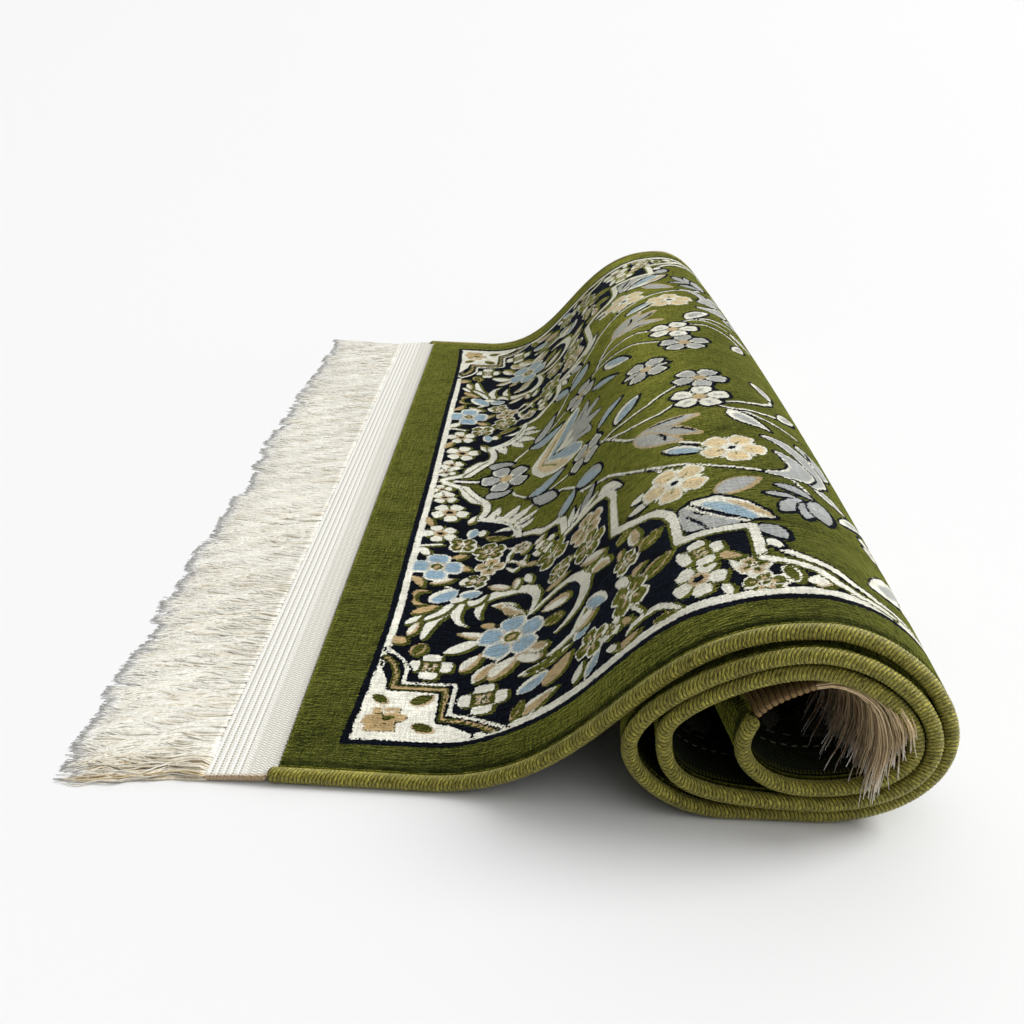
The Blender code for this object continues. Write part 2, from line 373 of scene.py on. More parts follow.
def polygon(points):
    rows = [placed(u, v) for u, v in points]
    low = [min(r[i] for r in rows) for i in (0, 1)]
    high = [max(r[i] for r in rows) for i in (0, 1)]

    def distance(u, s):
        best = np.full(u.shape, FAR_OFF)
        inside = np.zeros(u.shape, bool)
        for (u0, s0), (u1, s1) in zip(rows, rows[1:] + rows[:1]):
            best = np.minimum(best, from_segment(u, s, u0, s0, u1, s1)[1])
            du, ds = u1 - u0, s1 - s0
            crosses = (s0 > s) != (s1 > s)
            at = u0 + (s - s0) * du / (ds if abs(ds) > NO_DISTANCE else NO_DISTANCE)
            inside ^= crosses & (u < at)
        return np.where(inside, -best, best)

    return distance, (low, high)


def ellipse(u0, s0, long, wide, angle):
    c, d = cos(angle), sin(angle)
    size = max(long, wide)

    def distance(u, s):
        x = ((u - u0) * c + (s - s0) * d) / long
        y = (-(u - u0) * d + (s - s0) * c) / wide
        k = np.sqrt(x * x + y * y)
        steep = np.sqrt((x / long) ** 2 + (y / wide) ** 2) + NO_DISTANCE
        return k * (k - 1.0) / steep

    return distance, ([u0 - size, s0 - size], [u0 + size, s0 + size])


def block(u0, s0, long, wide, angle, soft):
    """A box with rounded corners."""
    c, d = cos(angle), sin(angle)
    size = long + wide

    def distance(u, s):
        x = np.abs((u - u0) * c + (s - s0) * d) - long + soft
        y = np.abs(-(u - u0) * d + (s - s0) * c) - wide + soft
        outside = np.hypot(np.maximum(x, 0), np.maximum(y, 0))
        return outside + np.minimum(np.maximum(x, y), 0) - soft

    return distance, ([u0 - size, s0 - size], [u0 + size, s0 + size])


class Pattern:
    """Paints shapes one over another into the yarns' distance fields."""

    def __init__(self, u, v):
        self.u = squared(folded(u), v * np.where(u < FOLD, 1.0, 0.0))
        self.s = -np.abs(straightened(np.minimum(u, LENGTH * MM - u), v))
        self.fields = np.full((len(YARNS), len(u)), REACH)
        self.fields[OLIVE] = -REACH
        self.only = None

    def paint(self, yarn, shape, grow=0.0, shift=(0.0, 0.0)):
        distance, (low, high) = shape
        room = REACH + grow + 1.0
        u, s = self.u - shift[0], self.s - shift[1]
        near = (u > low[0] - room) & (u < high[0] + room)
        near &= (s > low[1] - room) & (s < high[1] + room)
        picked = np.flatnonzero(near)
        d = distance(u[picked], s[picked]) - grow
        if self.only is not None:
            d = np.maximum(d, self.only[picked])
        d = np.clip(d, -REACH, REACH)
        for k in range(len(YARNS)):
            if k == yarn:
                self.fields[k, picked] = np.minimum(self.fields[k, picked], d)
            else:
                self.fields[k, picked] = np.maximum(self.fields[k, picked], -d)

    def everywhere(self, shape):
        """A shape's distance at every point."""
        return shape[0](self.u, self.s)


LEAF_ENDS = 0.04           # a leaf's first and last blobs lie this far in, as a share
LEAF_BLOBS = 8             # blobs in a leaf
LEAST_BLOB = 0.5           # least radius of one, in millimetres


def leaf_rows(start, end, width, bend, thin=0.0, slide=0.0):
    """Rows of a leaf between two points, bent sideways by bend millimetres."""
    (u0, s0), (u1, s1) = placed(*start), placed(*end)
    along = np.array([u1 - u0, s1 - s0])
    side = np.array([-along[1], along[0]]) / np.linalg.norm(along)
    rows = []
    for t in np.linspace(LEAF_ENDS + thin, 1.0 - LEAF_ENDS - thin, LEAF_BLOBS):
        swell = sin(pi * t**0.85)
        r = width / 2 * 1.12 * swell * (1.0 - 2.2 * thin)
        at = np.array([u0, s0]) + along * t + side * (bend * swell + slide * width * swell)
        rows.append((at[0], at[1], max(r, LEAST_BLOB)))
    return rows


# Leaf kinds: fill, rim, the rim's width, core and how far the core lies off
# the middle.  A rim width of zero gives the border's one-sided shadow rim.
LEAVES = {
    "tan": (TAN, OLIVE, 0.0, None, 0.0),
    "tan_cream": (TAN, OLIVE, 0.0, CREAM, 0.22),
    "cream": (CREAM, OLIVE, 0.0, None, 0.0),
    "cream_tan": (CREAM, OLIVE, 0.0, TAN, -0.15),
    "cream_core": (CREAM, OLIVE, 0.0, OLIVE, 0.0),
    "olive_tan": (TAN, OLIVE, 0.0, OLIVE, 0.0),
    "blue": (CREAM, NAVY, 0.0, BLUE, -0.12),
    "olive": (OLIVE, TAN, 0.9, None, 0.0),
    "f_blue": (GREY, NAVY, 2.4, BLUE, -0.10),
    "f_pale": (CREAM, NAVY, 2.4, BLUE, -0.16),
    "f_grey": (GREY, NAVY, 2.4, None, 0.0),
    "f_white": (CREAM, NAVY, 2.2, GREY, 0.0),
    "f_spike": (CREAM, NAVY, 2.0, None, 0.0),
    "f_rimmed": (GREY, TAN, 2.4, None, 0.0),
}
BORDER_SHADOW = (1.8, -1.4)
FIELD_SHADOW = (0.5, -0.8)
LEAF_SHADOW_RIM = 1.3
PETAL_SHADOW_RIM = 0.8


def draw_leaf(pattern, kind, start, end, width, bend):
    fill, rim, rim_width, core, slide = LEAVES[kind]
    body = capsules(leaf_rows(start, end, width, bend))
    if rim_width:
        pattern.paint(rim, body, rim_width, FIELD_SHADOW)
    else:
        pattern.paint(rim, body, LEAF_SHADOW_RIM, BORDER_SHADOW)
    pattern.paint(fill, body)
    if core is not None:
        inner = 0.23 if kind == "f_white" else 0.16
        pattern.paint(core, capsules(leaf_rows(start, end, width, bend, inner, slide)))


# Flower kinds: petal, rim, the rim's width, heart, eye and what marks each
# petal.  A rim width of zero gives the border's one-sided shadow rim.
FLOWERS = {
    "blue": (BLUE, CREAM, 2.0, OLIVE, TAN, None),
    "cream": (CREAM, OLIVE, 0.0, TAN, NAVY, None),
    "blocky": (CREAM, OLIVE, 0.0, None, OLIVE, None),
    "leafy": (OLIVE, CREAM, 1.5, CREAM, OLIVE, TAN),
    "tan": (TAN, CREAM, 1.6, CREAM, OLIVE, OLIVE),
    "f_grey": (GREY, NAVY, 2.6, TAN, None, None),
    "f_white": (CREAM, NAVY, 2.6, TAN, None, None),
    "f_tan": (PEACH, OLIVE, 2.4, CREAM, NAVY, None),
}
FIELD_KINDS = ("f_grey", "f_white", "f_tan")


def spoke_angles(petals, turn):
    return [radians(turn + 360.0 * k / petals) for k in range(petals)]


def petal_discs(kind, u, s, radius, petals, turn, grow=1.0):
    """One rounded block for each petal, wide for the field's kinds and the cream one."""
    discs = []
    width = radius * min(0.46, 2.0 / petals)
    for angle in spoke_angles(petals, turn):
        c, d = cos(angle), sin(angle)
        if kind in FIELD_KINDS or kind == "cream":
            at = (u + radius * 0.62 * c, s + radius * 0.62 * d)
            wide = radius * 1.72 / petals * grow
            discs.append(block(*at, radius * 0.36 * grow, wide, angle, radius * 0.17))
        else:
            at = (u + radius * 0.58 * c, s + radius * 0.58 * d)
            discs.append(block(*at, radius * 0.42, width * 0.9, angle, radius * 0.2))
    return discs


def draw_flower(pattern, kind, u, v, radius, petals, turn):
    petal, rim, rim_width, heart, eye, mark = FLOWERS[kind]
    u, s = placed(u, v)
    half = turn + 180.0 / petals

    def paint_all(yarn, shapes, grow=0.0, shift=(0.0, 0.0)):
        for shape in shapes:
            pattern.paint(yarn, shape, grow, shift)

    def spokes(yarn, aim, start, end, width):
        """A short line from near the middle outwards, one for each petal."""
        for angle in spoke_angles(petals, aim):
            c, d = cos(angle) * radius, sin(angle) * radius
            rows = [(u + start * c, s + start * d, width), (u + end * c, s + end * d, width * 0.8)]
            pattern.paint(yarn, capsules(rows))

    def round_spot(yarn, long, wide, angle=0.0):
        pattern.paint(yarn, ellipse(u, s, radius * long, radius * wide, angle))

    discs = petal_discs(kind, u, s, radius, petals, turn)
    if rim_width:
        paint_all(rim, discs, rim_width, (0.3, -0.5))
    else:
        paint_all(rim, discs, PETAL_SHADOW_RIM, BORDER_SHADOW)
        round_spot(petal, 0.40, 0.40)
    if kind == "f_grey":
        paint_all(CREAM, discs)
        smaller = petal_discs(kind, u, s, radius, petals, turn, 0.80)
        paint_all(petal, smaller, 0.0, (0.5, -0.5))
    elif kind == "f_tan":
        paint_all(CREAM, discs, 0.8)
        paint_all(petal, petal_discs(kind, u, s, radius, petals, turn, 0.86))
        spokes(CREAM, half, 0.30, 0.86, 1.1)
        pattern.paint(CREAM, ellipse(u, s, radius * 0.40, radius * 0.40, 0.0), -radius * 0.08)
        spokes(OLIVE, turn, 0.30, 0.56, 0.7)
    else:
        paint_all(petal, discs)
    if kind in ("f_grey", "f_white", "cream"):
        spokes(OLIVE if kind == "cream" else NAVY, half, 0.30, 0.92, 1.1)
    if kind == "blue":
        round_spot(petal, 0.40, 0.40)
        spokes(NAVY, half, 0.86, 1.02, 1.3)
        spokes(CREAM, half, 0.0, 0.62, 1.7)
        spokes(TAN, half, 0.0, 0.46, 0.9)
        round_spot(CREAM, 0.36, 0.36)
        spokes(TAN, turn, 0.0, 0.40, 1.2)
    if kind == "blocky":
        spokes(OLIVE, half, 0.50, 0.86, 0.7)
        pattern.paint(OLIVE, block(u, s, radius * 0.50, radius * 0.46, radians(turn), radius * 0.1))
        spokes(TAN, half, 0.10, 0.34, radius * 0.11)
        spokes(CREAM, turn, 0.14, 0.30, radius * 0.06)
    if kind in ("leafy", "tan"):
        spokes(mark, turn, 0.30, 0.66, 1.4)
        spokes(rim, half, 0.30, 0.70, 0.7)
    if kind == "f_white":
        spokes(GREY, turn, 0.55, 0.75, 1.6)
    if heart is not None:
        round_spot(heart, 0.25, 0.25)
    if kind == "cream":
        round_spot(TAN, 0.38, 0.36)
        round_spot(NAVY, 0.20, 0.18)
    if eye is not None:
        round_spot(eye, 0.15, 0.11, 0.6)


# The frame: outer edge of the navy line, from the middle of the end round
# the near corner and along the near side.
FRAME = (
    (44, 60), (44, -5), (43.5, -100), (43, -200), (42, -260), (40, -300), (37.5, -340),
    (35, -371), (100, -370), (140, -365.5), (180, -366.5), (230, -364), (255, -364.5),
    (280, -369), (340, -371), (362, -369), (390, -367), (450, -367), (450, 60),
)
NAVY_LINE = (4.6, 4.6)     # widths of the frame's lines at the end and the side
CREAM_LINE = (9.8, 11.2)


def inset(points, widths):
    """An outline moved inwards, apart from the ends that run on past it."""
    end, side = widths
    return [
        (u + end if u < PAST_FOLD else u, v + side if v < PAST_MIDDLE else v)
        for u, v in points
    ]


# The field's edge, where its cream band meets the olive, from the middle.
FIELD = (
    (66, 60), (66, -5), (72, -11), (84, -15), (89, -30), (97, -38), (106, -44), (107, -62),
    (101, -80), (118, -88), (132, -100), (136, -121), (150, -125), (158, -132), (175, -131),
    (182, -138), (183, -160), (200, -155), (213, -152), (226, -156), (231, -168), (230, -222),
    (245, -225), (260, -233), (268, -245), (270, -281), (311, -282), (312, -322),
    (328, -328), (341, -338), (350, -348), (362, -354), (385, -353), (450, -352), (450, 60),
)
# Its bands: rows of u, v and half the band's width.
BANDS = (
    ((58, -5, 2.0), (62, -8, 3.0), (72, -14, 3.0), (80, -18, 4.5), (84, -29, 6.2),
     (92, -41, 6.2), (100, -47, 4.0), (103, -54, 3.3), (103, -64, 3.0), (98, -79, 2.6)),
    ((132, -119, 3.2), (142, -124, 2.8), (150, -127, 3.2), (157, -134, 3.4), (171, -134, 3.0),
     (178, -140, 3.2), (179, -163, 3.2)),
    ((180, -164, 2.5), (195, -158.5, 3.0), (212, -155, 2.8), (223, -158, 2.8),
     (227, -168, 3.0), (225, -200, 3.2), (224, -221, 3.4), (240, -228, 3.2), (255, -233, 3.2),
     (263, -243, 3.2), (266, -255, 3.0), (265.5, -283, 3.0), (285, -284, 2.6),
     (308, -286, 2.8), (308, -305, 2.8), (307, -325, 3.0)),
    ((307, -325, 2.4), (322, -331, 2.2), (334, -339, 2.4), (342, -350, 2.6), (352, -357, 2.0),
     (372, -359, 1.6)),
    ((318, -316, 2.2), (330, -326, 2.2), (342, -334, 2.2), (352, -345, 2.0), (364, -352, 1.6),
     (390, -354, 1.2)),
)
# The stepped corner: cream ground, its white outline and its olive band.
CORNER = (
    (43, -270), (47, -290), (53, -305), (55, -317), (88, -318), (88, -348), (98, -350),
    (112, -359), (112, -366), (38, -366),
)
CORNER_LINE = (
    (49, -271, 1.4), (56, -277, 1.3), (61, -283, 1.2), (65, -293, 1.2), (64, -308, 1.3),
    (97, -308, 1.3), (98, -311, 1.3), (96, -339, 1.3), (104, -341, 1.3), (113, -345, 1.3),
    (124, -352, 1.3), (133, -359, 1.3),
)
CORNER_BAND = (
    (50, -281, 2.6), (56, -288, 2.6), (59, -300, 2.6), (58, -313.5, 2.6), (91, -313.5, 2.6),
    (93, -320, 2.6), (92, -344, 2.6), (105, -346, 2.6), (117, -352, 2.6), (126, -360, 2.6),
)
# Cream scrolls of the border: rows of u, v and half width.
SCROLLS = (
    ((70, -256, 1.6), (72, -244, 3.2), (76, -232, 3.6), (86, -216, 5.0), (102, -207, 5.2),
     (122, -203, 4.2), (138, -205, 4.4), (149, -213, 4.4), (153, -224, 3.6), (151, -236, 2.2),
     (146, -244, 1.2)),
    ((148, -244, 1.2), (158, -238, 2.0), (170, -233, 2.4), (182, -232, 2.8), (191, -238, 3.8),
     (196, -250, 4.6), (194, -262, 4.6), (187, -273, 3.4), (176, -281, 2.0), (168, -284, 0.9)),
    ((92, -212, 4.0), (90, -226, 3.2), (93, -236, 2.0), (99, -240, 0.9)),
    ((108, -212, 3.4), (106, -224, 2.4), (108, -232, 1.0)),
    ((64, -236, 0.9), (72, -230, 2.0), (80, -222, 2.6), (86, -212, 2.0)),
    ((162, -304, 1.0), (172, -303, 2.4), (183, -299, 2.6), (189, -288, 2.2), (196, -278, 1.0)),
    ((126, -168, 1.2), (132, -176, 1.4), (139, -170, 1.2), (143, -160, 1.0)),
    ((70, -122, 1.4), (62, -124, 1.4), (54, -125, 1.4)),
    ((222, -343, 1.0), (228, -339, 2.0), (236, -337, 2.4), (245, -338, 2.2), (252, -344, 1.8),
     (258, -352, 1.0)),
    ((226, -318, 0.9), (231, -325, 1.4), (235, -333, 1.2)),
    ((126, -137, 0.9), (132, -141, 1.4), (127, -148, 1.6), (126, -157, 1.4), (134, -163, 1.4),
     (139, -168, 1.0)),
    ((77, -122, 0.9), (84, -133, 1.1), (94, -132, 1.0)),
)
# The white leaf spray that crosses the field's edge, and its veins.
SPRAY = (
    ((130, -108, 2.5), (121, -103, 2.6), (113, -104, 0.8)),
    ((132, -110, 3.0), (142, -108, 3.0), (148, -104, 0.8)),
    ((130, -101, 4.0), (142, -97, 3.8), (153, -92, 0.8)),
    ((126, -92, 4.5), (138, -85, 4.2), (147, -78, 0.8)),
    ((120, -86, 5.0), (128, -77, 4.6), (134, -68, 0.8)),
    ((108, -80, 5.0), (112, -70, 4.4), (115, -61, 0.8)),
    ((101, -79, 3.0), (112, -82, 5.0), (122, -88, 5.5), (129, -97, 5.0), (132, -108, 3.5),
     (135, -122, 3.0)),
)
VEINS = (
    ((133, -112, 0.6), (128, -99, 0.8), (117, -86, 0.6)),
    ((124, -90, 0.6), (130, -79, 0.6)), ((130, -98, 0.6), (142, -88, 0.6)),
    ((132, -104, 0.5), (146, -96, 0.5)), ((112, -82, 0.6), (113, -69, 0.5)),
)
BORDER_FLOWERS = (
    ("blue", 134, -264, 23, 5, 18), ("blocky", 79, -289, 14, 4, 0),
    ("blocky", 117, -326, 15, 4, 0), ("blue", 70, -158, 18, 4, 0),
    ("cream", 71, -66, 16, 5, -10), ("cream", 67, -104, 14, 5, 40),
    ("cream", 60, -22, 9, 4, 20), ("cream", 64, -38, 11, 4, 60),
    ("leafy", 87, -122, 11, 4, 45), ("leafy", 110, -136, 13, 5, 20),
    ("tan", 112, -160, 11, 4, 80), ("blocky", 159, -160, 11, 4, 30),
    ("leafy", 167, -181, 14, 4, 60), ("tan", 200, -181, 15, 5, 20),
    ("leafy", 201, -208, 14, 5, 0), ("leafy", 173, -210, 10, 4, 30),
    ("leafy", 197, -324, 12, 4, 10), ("blocky", 212, -327, 8, 4, 45),
    ("leafy", 228, -307, 14, 4, 45), ("cream", 271, -332, 16, 5, -15),
    ("blocky", 276, -305, 13, 4, 10), ("leafy", 304, -353, 11, 5, 90),
    ("tan", 301, -333, 8, 4, 20), ("tan", 138, -143, 7, 5, 0),
    ("leafy", 229, -268, 9, 4, 60), ("leafy", 102, -179, 9, 4, 30),
)
BORDER_LEAVES = (
    ("cream", (86, -273), (114, -257), 9, 0), ("tan_cream", (93, -249), (118, -257), 7, 0),
    ("tan", (110, -240), (124, -248), 6, 0), ("tan_cream", (99, -295), (113, -275), 9, 0),
    ("cream_tan", (109, -308), (125, -288), 9, 2), ("olive_tan", (66, -276), (72, -262), 9, 0),
    ("tan_cream", (120, -308), (142, -288), 12, 2), ("tan_cream", (158, -303), (136, -288), 11, -2),
    ("cream_tan", (163, -293), (144, -278), 9, 2), ("olive_tan", (174, -270), (156, -263), 9, 0),
    ("tan_cream", (181, -255), (156, -249), 11, -3), ("cream_tan", (116, -217), (138, -240), 9, 5),
    ("cream_tan", (126, -219), (145, -240), 8, -4), ("tan", (58, -226), (78, -212), 7, 0),
    ("cream", (56, -240), (66, -228), 5, 0), ("tan_cream", (60, -254), (66, -236), 6, 0),
    ("tan", (50, -258), (60, -262), 8, 0), ("cream", (100, -214), (112, -200), 6, 0),
    ("cream_core", (139, -311), (181, -309), 8, 0), ("blue", (140, -330), (163, -320), 12, 0),
    ("tan", (158, -333), (181, -316), 12, -1), ("cream_tan", (140, -355), (170, -342), 10, 3),
    ("olive_tan", (136, -354), (143, -338), 5, 0), ("cream", (181, -351), (189, -336), 6, 0),
    ("blue", (190, -353), (203, -336), 8, 0), ("blue", (184, -308), (198, -298), 11, 0),
    ("tan_cream", (186, -300), (206, -286), 11, 0), ("blue", (196, -276), (212, -292), 12, 0),
    ("tan", (226, -250), (224, -262), 4, 0), ("cream_tan", (238, -256), (237, -234), 9, 0),
    ("olive_tan", (224, -240), (234, -231), 7, 0), ("olive_tan", (240, -266), (256, -254), 9, 0),
    ("olive_tan", (238, -301), (261, -287), 10, 0), ("tan", (233, -292), (243, -283), 5, 3),
    ("cream", (220, -282), (229, -294), 7, 0), ("tan_cream", (192, -226), (216, -234), 8, 0),
    ("cream_core", (196, -240), (214, -238), 6, 0), ("cream_tan", (201, -247), (218, -252), 9, 3),
    ("tan", (160, -226), (181, -222), 6, 0), ("tan", (170, -202), (186, -208), 8, 0),
    ("cream", (263, -296), (268, -316), 6, 0), ("tan", (286, -308), (298, -320), 6, -3),
    ("tan_cream", (88, -86), (99, -68), 6, 0), ("tan", (52, -76), (60, -93), 6, 0),
    ("cream", (54, -129), (62, -141), 7, 0), ("blue", (92, -110), (96, -94), 9, 0),
    ("cream", (101, -108), (103, -98), 6, 0), ("olive_tan", (105, -112), (124, -119), 7, 0),
    ("tan", (80, -144), (92, -138), 6, 0), ("tan", (86, -152), (98, -163), 6, -2),
    ("tan_cream", (67, -184), (86, -174), 6, 0), ("tan", (52, -174), (62, -189), 6, 2),
    ("cream", (77, -185), (88, -192), 2.5, 0), ("blue", (70, -209), (90, -190), 14, 0),
    ("blue", (92, -199), (108, -196), 11, 0), ("cream", (84, -207), (97, -203), 6, 0),
    ("tan", (58, -204), (68, -194), 3.4, 5), ("tan", (59, -205), (67, -213), 3.4, -4),
    ("tan_cream", (112, -189), (131, -200), 7, 0), ("tan_cream", (136, -188), (134, -203), 6, 0),
    ("cream", (143, -188), (148, -203), 6, 0), ("tan_cream", (135, -163), (143, -176), 6, 0),
    ("tan", (143, -174), (153, -178), 5, 0), ("tan", (137, -154), (146, -146), 5, 0),
    ("tan_cream", (150, -150), (160, -140), 6, 0), ("cream", (90, -184), (97, -172), 6, 0),
    ("cream_core", (317, -335), (321, -354), 9, 0), ("cream", (326, -352), (342, -347), 8, 0),
    ("cream", (283, -345), (286, -358), 5, 0), ("cream", (290, -322), (294, -336), 4, 0),
    ("cream", (296, -342), (306, -341), 5, 0), ("tan", (218, -326), (228, -334), 5, 0),
    ("tan", (214, -352), (232, -347), 5, 0), ("olive_tan", (240, -350), (256, -354), 6, 0),
    ("cream", (208, -342), (215, -350), 5, 0), ("tan_cream", (330, -357), (338, -352), 4, 0),
    ("cream", (94, -120), (99, -130), 5, 0), ("cream", (78, -130), (84, -116), 5, 0),
)
CORNER_LEAVES = (
    ("olive", (48, -322), (57, -330), 6, 0), ("olive", (72, -329), (84, -320), 8, 0),
    ("olive", (75, -350), (88, -355), 7, 0),
)
CORNER_BLOCK = (
    (49, -335), (66, -334), (65, -340), (71, -341), (70, -346), (64, -348), (65, -357),
    (46, -358), (47, -352), (44, -350), (46, -343), (50, -342),
)
STEM_HALF = 1.25           # half a stem's width
STEM_SHADOW = (0.4, -1.9)
# White stems of the field, each with a dark shadow on its lower side.
STEMS = (
    ((124, -30), (128, -44), (137, -55), (146, -66), (156, -70), (186, -70)),
    ((172, -82), (181, -90), (190, -101), (197, -112), (199, -122)),
    ((198, -118), (212, -127), (226, -134), (238, -148), (254, -164), (264, -176), (267, -186)),
    ((256, -165), (266, -174), (283, -184), (300, -197), (318, -205), (332, -209)),
    ((218, -62), (229, -70), (238, -86), (245, -98), (253, -106)),
    ((226, -66), (248, -63), (268, -58), (280, -48), (291, -40)),
    ((232, -74), (246, -81), (262, -84), (275, -84), (286, -76)),
    ((277, -136), (284, -147), (296, -156)),
    ((317, -91), (328, -98), (342, -109), (354, -114), (368, -119)),
    ((328, -97), (344, -98), (357, -93)),
    ((361, -52), (359, -62), (350, -74), (338, -81), (320, -83)),
    ((343, -216), (349, -226), (352, -238)),
    ((70, -5), (80, -5), (96, -5)),
)
FIELD_LEAVES = (
    ("f_grey", (101, -38), (125, -34), 13, 2), ("f_blue", (142, -60), (183, -50), 14, 2),
    ("f_grey", (147, -67), (173, -93), 13, 1), ("f_blue", (221, -36), (250, -9), 9, 2),
    ("f_pale", (239, -56), (264, -27), 14, 2), ("f_blue", (174, -133), (192, -105), 12, 0),
    ("f_blue", (194, -103), (219, -114), 17, 3), ("f_white", (322, -98), (345, -133), 12, -3),
    ("f_pale", (270, -151), (300, -172), 10, 0), ("f_rimmed", (252, -106), (301, -103), 12, -3),
    ("f_rimmed", (255, -108), (298, -138), 12, 2), ("f_rimmed", (253, -105), (284, -143), 13, -3),
    ("f_white", (357, -213), (379, -230), 10, 0), ("f_white", (366, -255), (402, -222), 8, 2),
    ("f_rimmed", (296, -238), (322, -220), 13, 2), ("f_grey", (330, -229), (353, -240), 8, 2),
    ("f_grey", (321, -241), (343, -246), 5, 0), ("f_grey", (343, -247), (327, -268), 11, 0),
    ("f_grey", (348, -246), (340, -274), 10, 0), ("f_grey", (355, -242), (354, -272), 14, -2),
    ("f_grey", (311, -287), (325, -304), 10, 2), ("f_spike", (313, -304), (320, -314), 6, 0),
    ("f_white", (349, -25), (361, -54), 9, 3), ("f_white", (360, -94), (380, -68), 10, 2),
    ("f_white", (364, -334), (404, -292), 18, -4), ("f_white", (392, -330), (424, -300), 16, 0),
    ("f_blue", (404, -60), (424, -20), 14, 0), ("f_pale", (402, -150), (420, -180), 14, 0),
    ("f_spike", (182, -160), (190, -134), 6, 0), ("f_spike", (186, -158), (204, -133), 6, 0),
    ("f_grey", (196, -152), (212, -124), 8, 0), ("f_spike", (208, -145), (236, -166), 9, 4),
    ("cream", (192, -156), (216, -142), 6, 0), ("f_spike", (240, -203), (258, -199), 7, 0),
    ("f_spike", (236, -216), (260, -212), 7, 0),
)
FIELD_FLOWERS = (
    ("f_grey", 118, -5, 24, 5, 180), ("f_grey", 206, -60, 18, 4, 25),
    ("f_grey", 274, 19, 21, 5, 20), ("f_grey", 311, -28, 20, 5, 200),
    ("f_white", 306, -69, 21, 5, 150), ("f_tan", 314, -170, 21, 5, 60),
    ("f_tan", 272, -206, 22, 5, 110), ("f_white", 396, -262, 16, 5, 0),
    ("f_tan", 430, -110, 18, 5, 90), ("f_grey", 430, 15, 18, 5, 90),
)


def paint_strokes(pattern, *strokes):
    """Strokes in their order: yarn, how far each grows, and its rows."""
    for yarn, grow, rows in strokes:
        pattern.paint(yarn, stroke(rows), grow)


def draw_tulip(pattern):
    """The large flower on the middle line, half of it, in three colours."""
    white = (
        (148, -6, 3), (153, -16, 7), (163, -27, 9), (178, -35, 9), (192, -38, 6), (199, -40, 2),
    )
    tan = ((153, -10, 3), (159, -20, 5), (168, -29, 6.5), (178, -36, 5), (184, -41, 2))
    vein = ((156, -12, 0.7), (165, -22, 0.8), (173, -32, 0.9))
    grey = ((164, -4, 4), (180, -4, 10), (196, -6, 11), (208, -14, 6), (213, -22, 2))
    tip = ((196, 0, 8), (210, 0, 7), (224, 0, 3))
    blue = ((166, -9, 2), (178, -17, 4.5), (190, -27, 6.5), (198, -35, 4.5))
    paint_strokes(
        pattern,
        (NAVY, 1.6, grey),
        (NAVY, 1.6, tip),
        (CREAM, 1.4, white),
        (GREY, 0.0, tip),
        (GREY, 0.0, grey),
        (CREAM, 0.0, ((160, -3, 3), (178, -5, 5), (190, -8, 4))),
        (PEACH, 0.0, tan),
        (OLIVE, 0.0, vein),
        (CREAM, 1.6, blue),
        (BLUE, 0.0, blue),
        (NAVY, 0.0, ((166, -6, 0.6), (176, -10, 1.4), (184, -12, 0.7))),
        (NAVY, 0.0, ((200, -10, 0.7), (206, -12, 1.0), (212, -12, 0.7))),
    )


def draw_bell(pattern):
    """The grey bell flower by the roll's top: three petals and a vein."""
    inner = (
        (343, -173, 3), (350, -181, 7), (355, -192, 9), (350, -204, 8), (340, -210, 5),
        (330, -210, 2),
    )
    outer = (
        (338, -147, 2), (350, -152, 6), (361, -163, 8), (367, -178, 7), (366, -194, 7),
        (357, -208, 6),
    )
    third = ((366, -142, 5), (376, -150, 8), (378, -164, 7), (372, -178, 4))
    for rows in (third, outer, inner):
        paint_strokes(pattern, (NAVY, 2.0, rows), (CREAM, 0.0, rows), (GREY, -1.6, rows))
    paint_strokes(pattern, (NAVY, 0.0, ((370, -144, 2.0), (371, -152, 2.2))))


def draw_leaf_pair(pattern):
    """The large folded leaf in the field's near corner."""
    shadow = ((279, -241, 2), (292, -249, 9), (304, -261, 10), (314, -271, 7), (322, -277, 1.5))
    cream = ((280, -242, 2), (292, -249, 8), (304, -260, 9), (314, -270, 6), (321, -276, 1.5))
    blue = ((286, -248, 2), (293, -254, 4.5), (302, -264, 5), (310, -274, 3))
    tan = ((300, -250, 1), (308, -258, 2.4), (315, -267, 2.4), (321, -275, 1.2))
    grey = ((273, -247, 3), (274, -258, 5), (278, -269, 8), (288, -273, 7), (300, -279, 2))
    vein = ((276, -245, 1.5), (284, -257, 2.2), (294, -268, 2.6), (306, -278, 2))
    paint_strokes(
        pattern,
        (NAVY, 2.0, grey),
        (GREY, 0.0, grey),
        (CREAM, 0.0, vein),
        (NAVY, 0.0, ((274, -258, 1), (279, -268, 1.6), (283, -277, 1))),
        (NAVY, 2.0, shadow),
        (CREAM, 0.0, cream),
        (BLUE, 0.0, blue),
        (TAN, 0.0, tan),
    )


def draw_border(pattern):
    """The border's scrolls, leaves and flowers."""
    for rows in SCROLLS:
        pattern.paint(OLIVE, stroke(rows), 1.0, BORDER_SHADOW)
        pattern.paint(CREAM, stroke(rows))
    for row in BORDER_LEAVES:
        draw_leaf(pattern, *row)
    for row in BORDER_FLOWERS:
        draw_flower(pattern, *row)


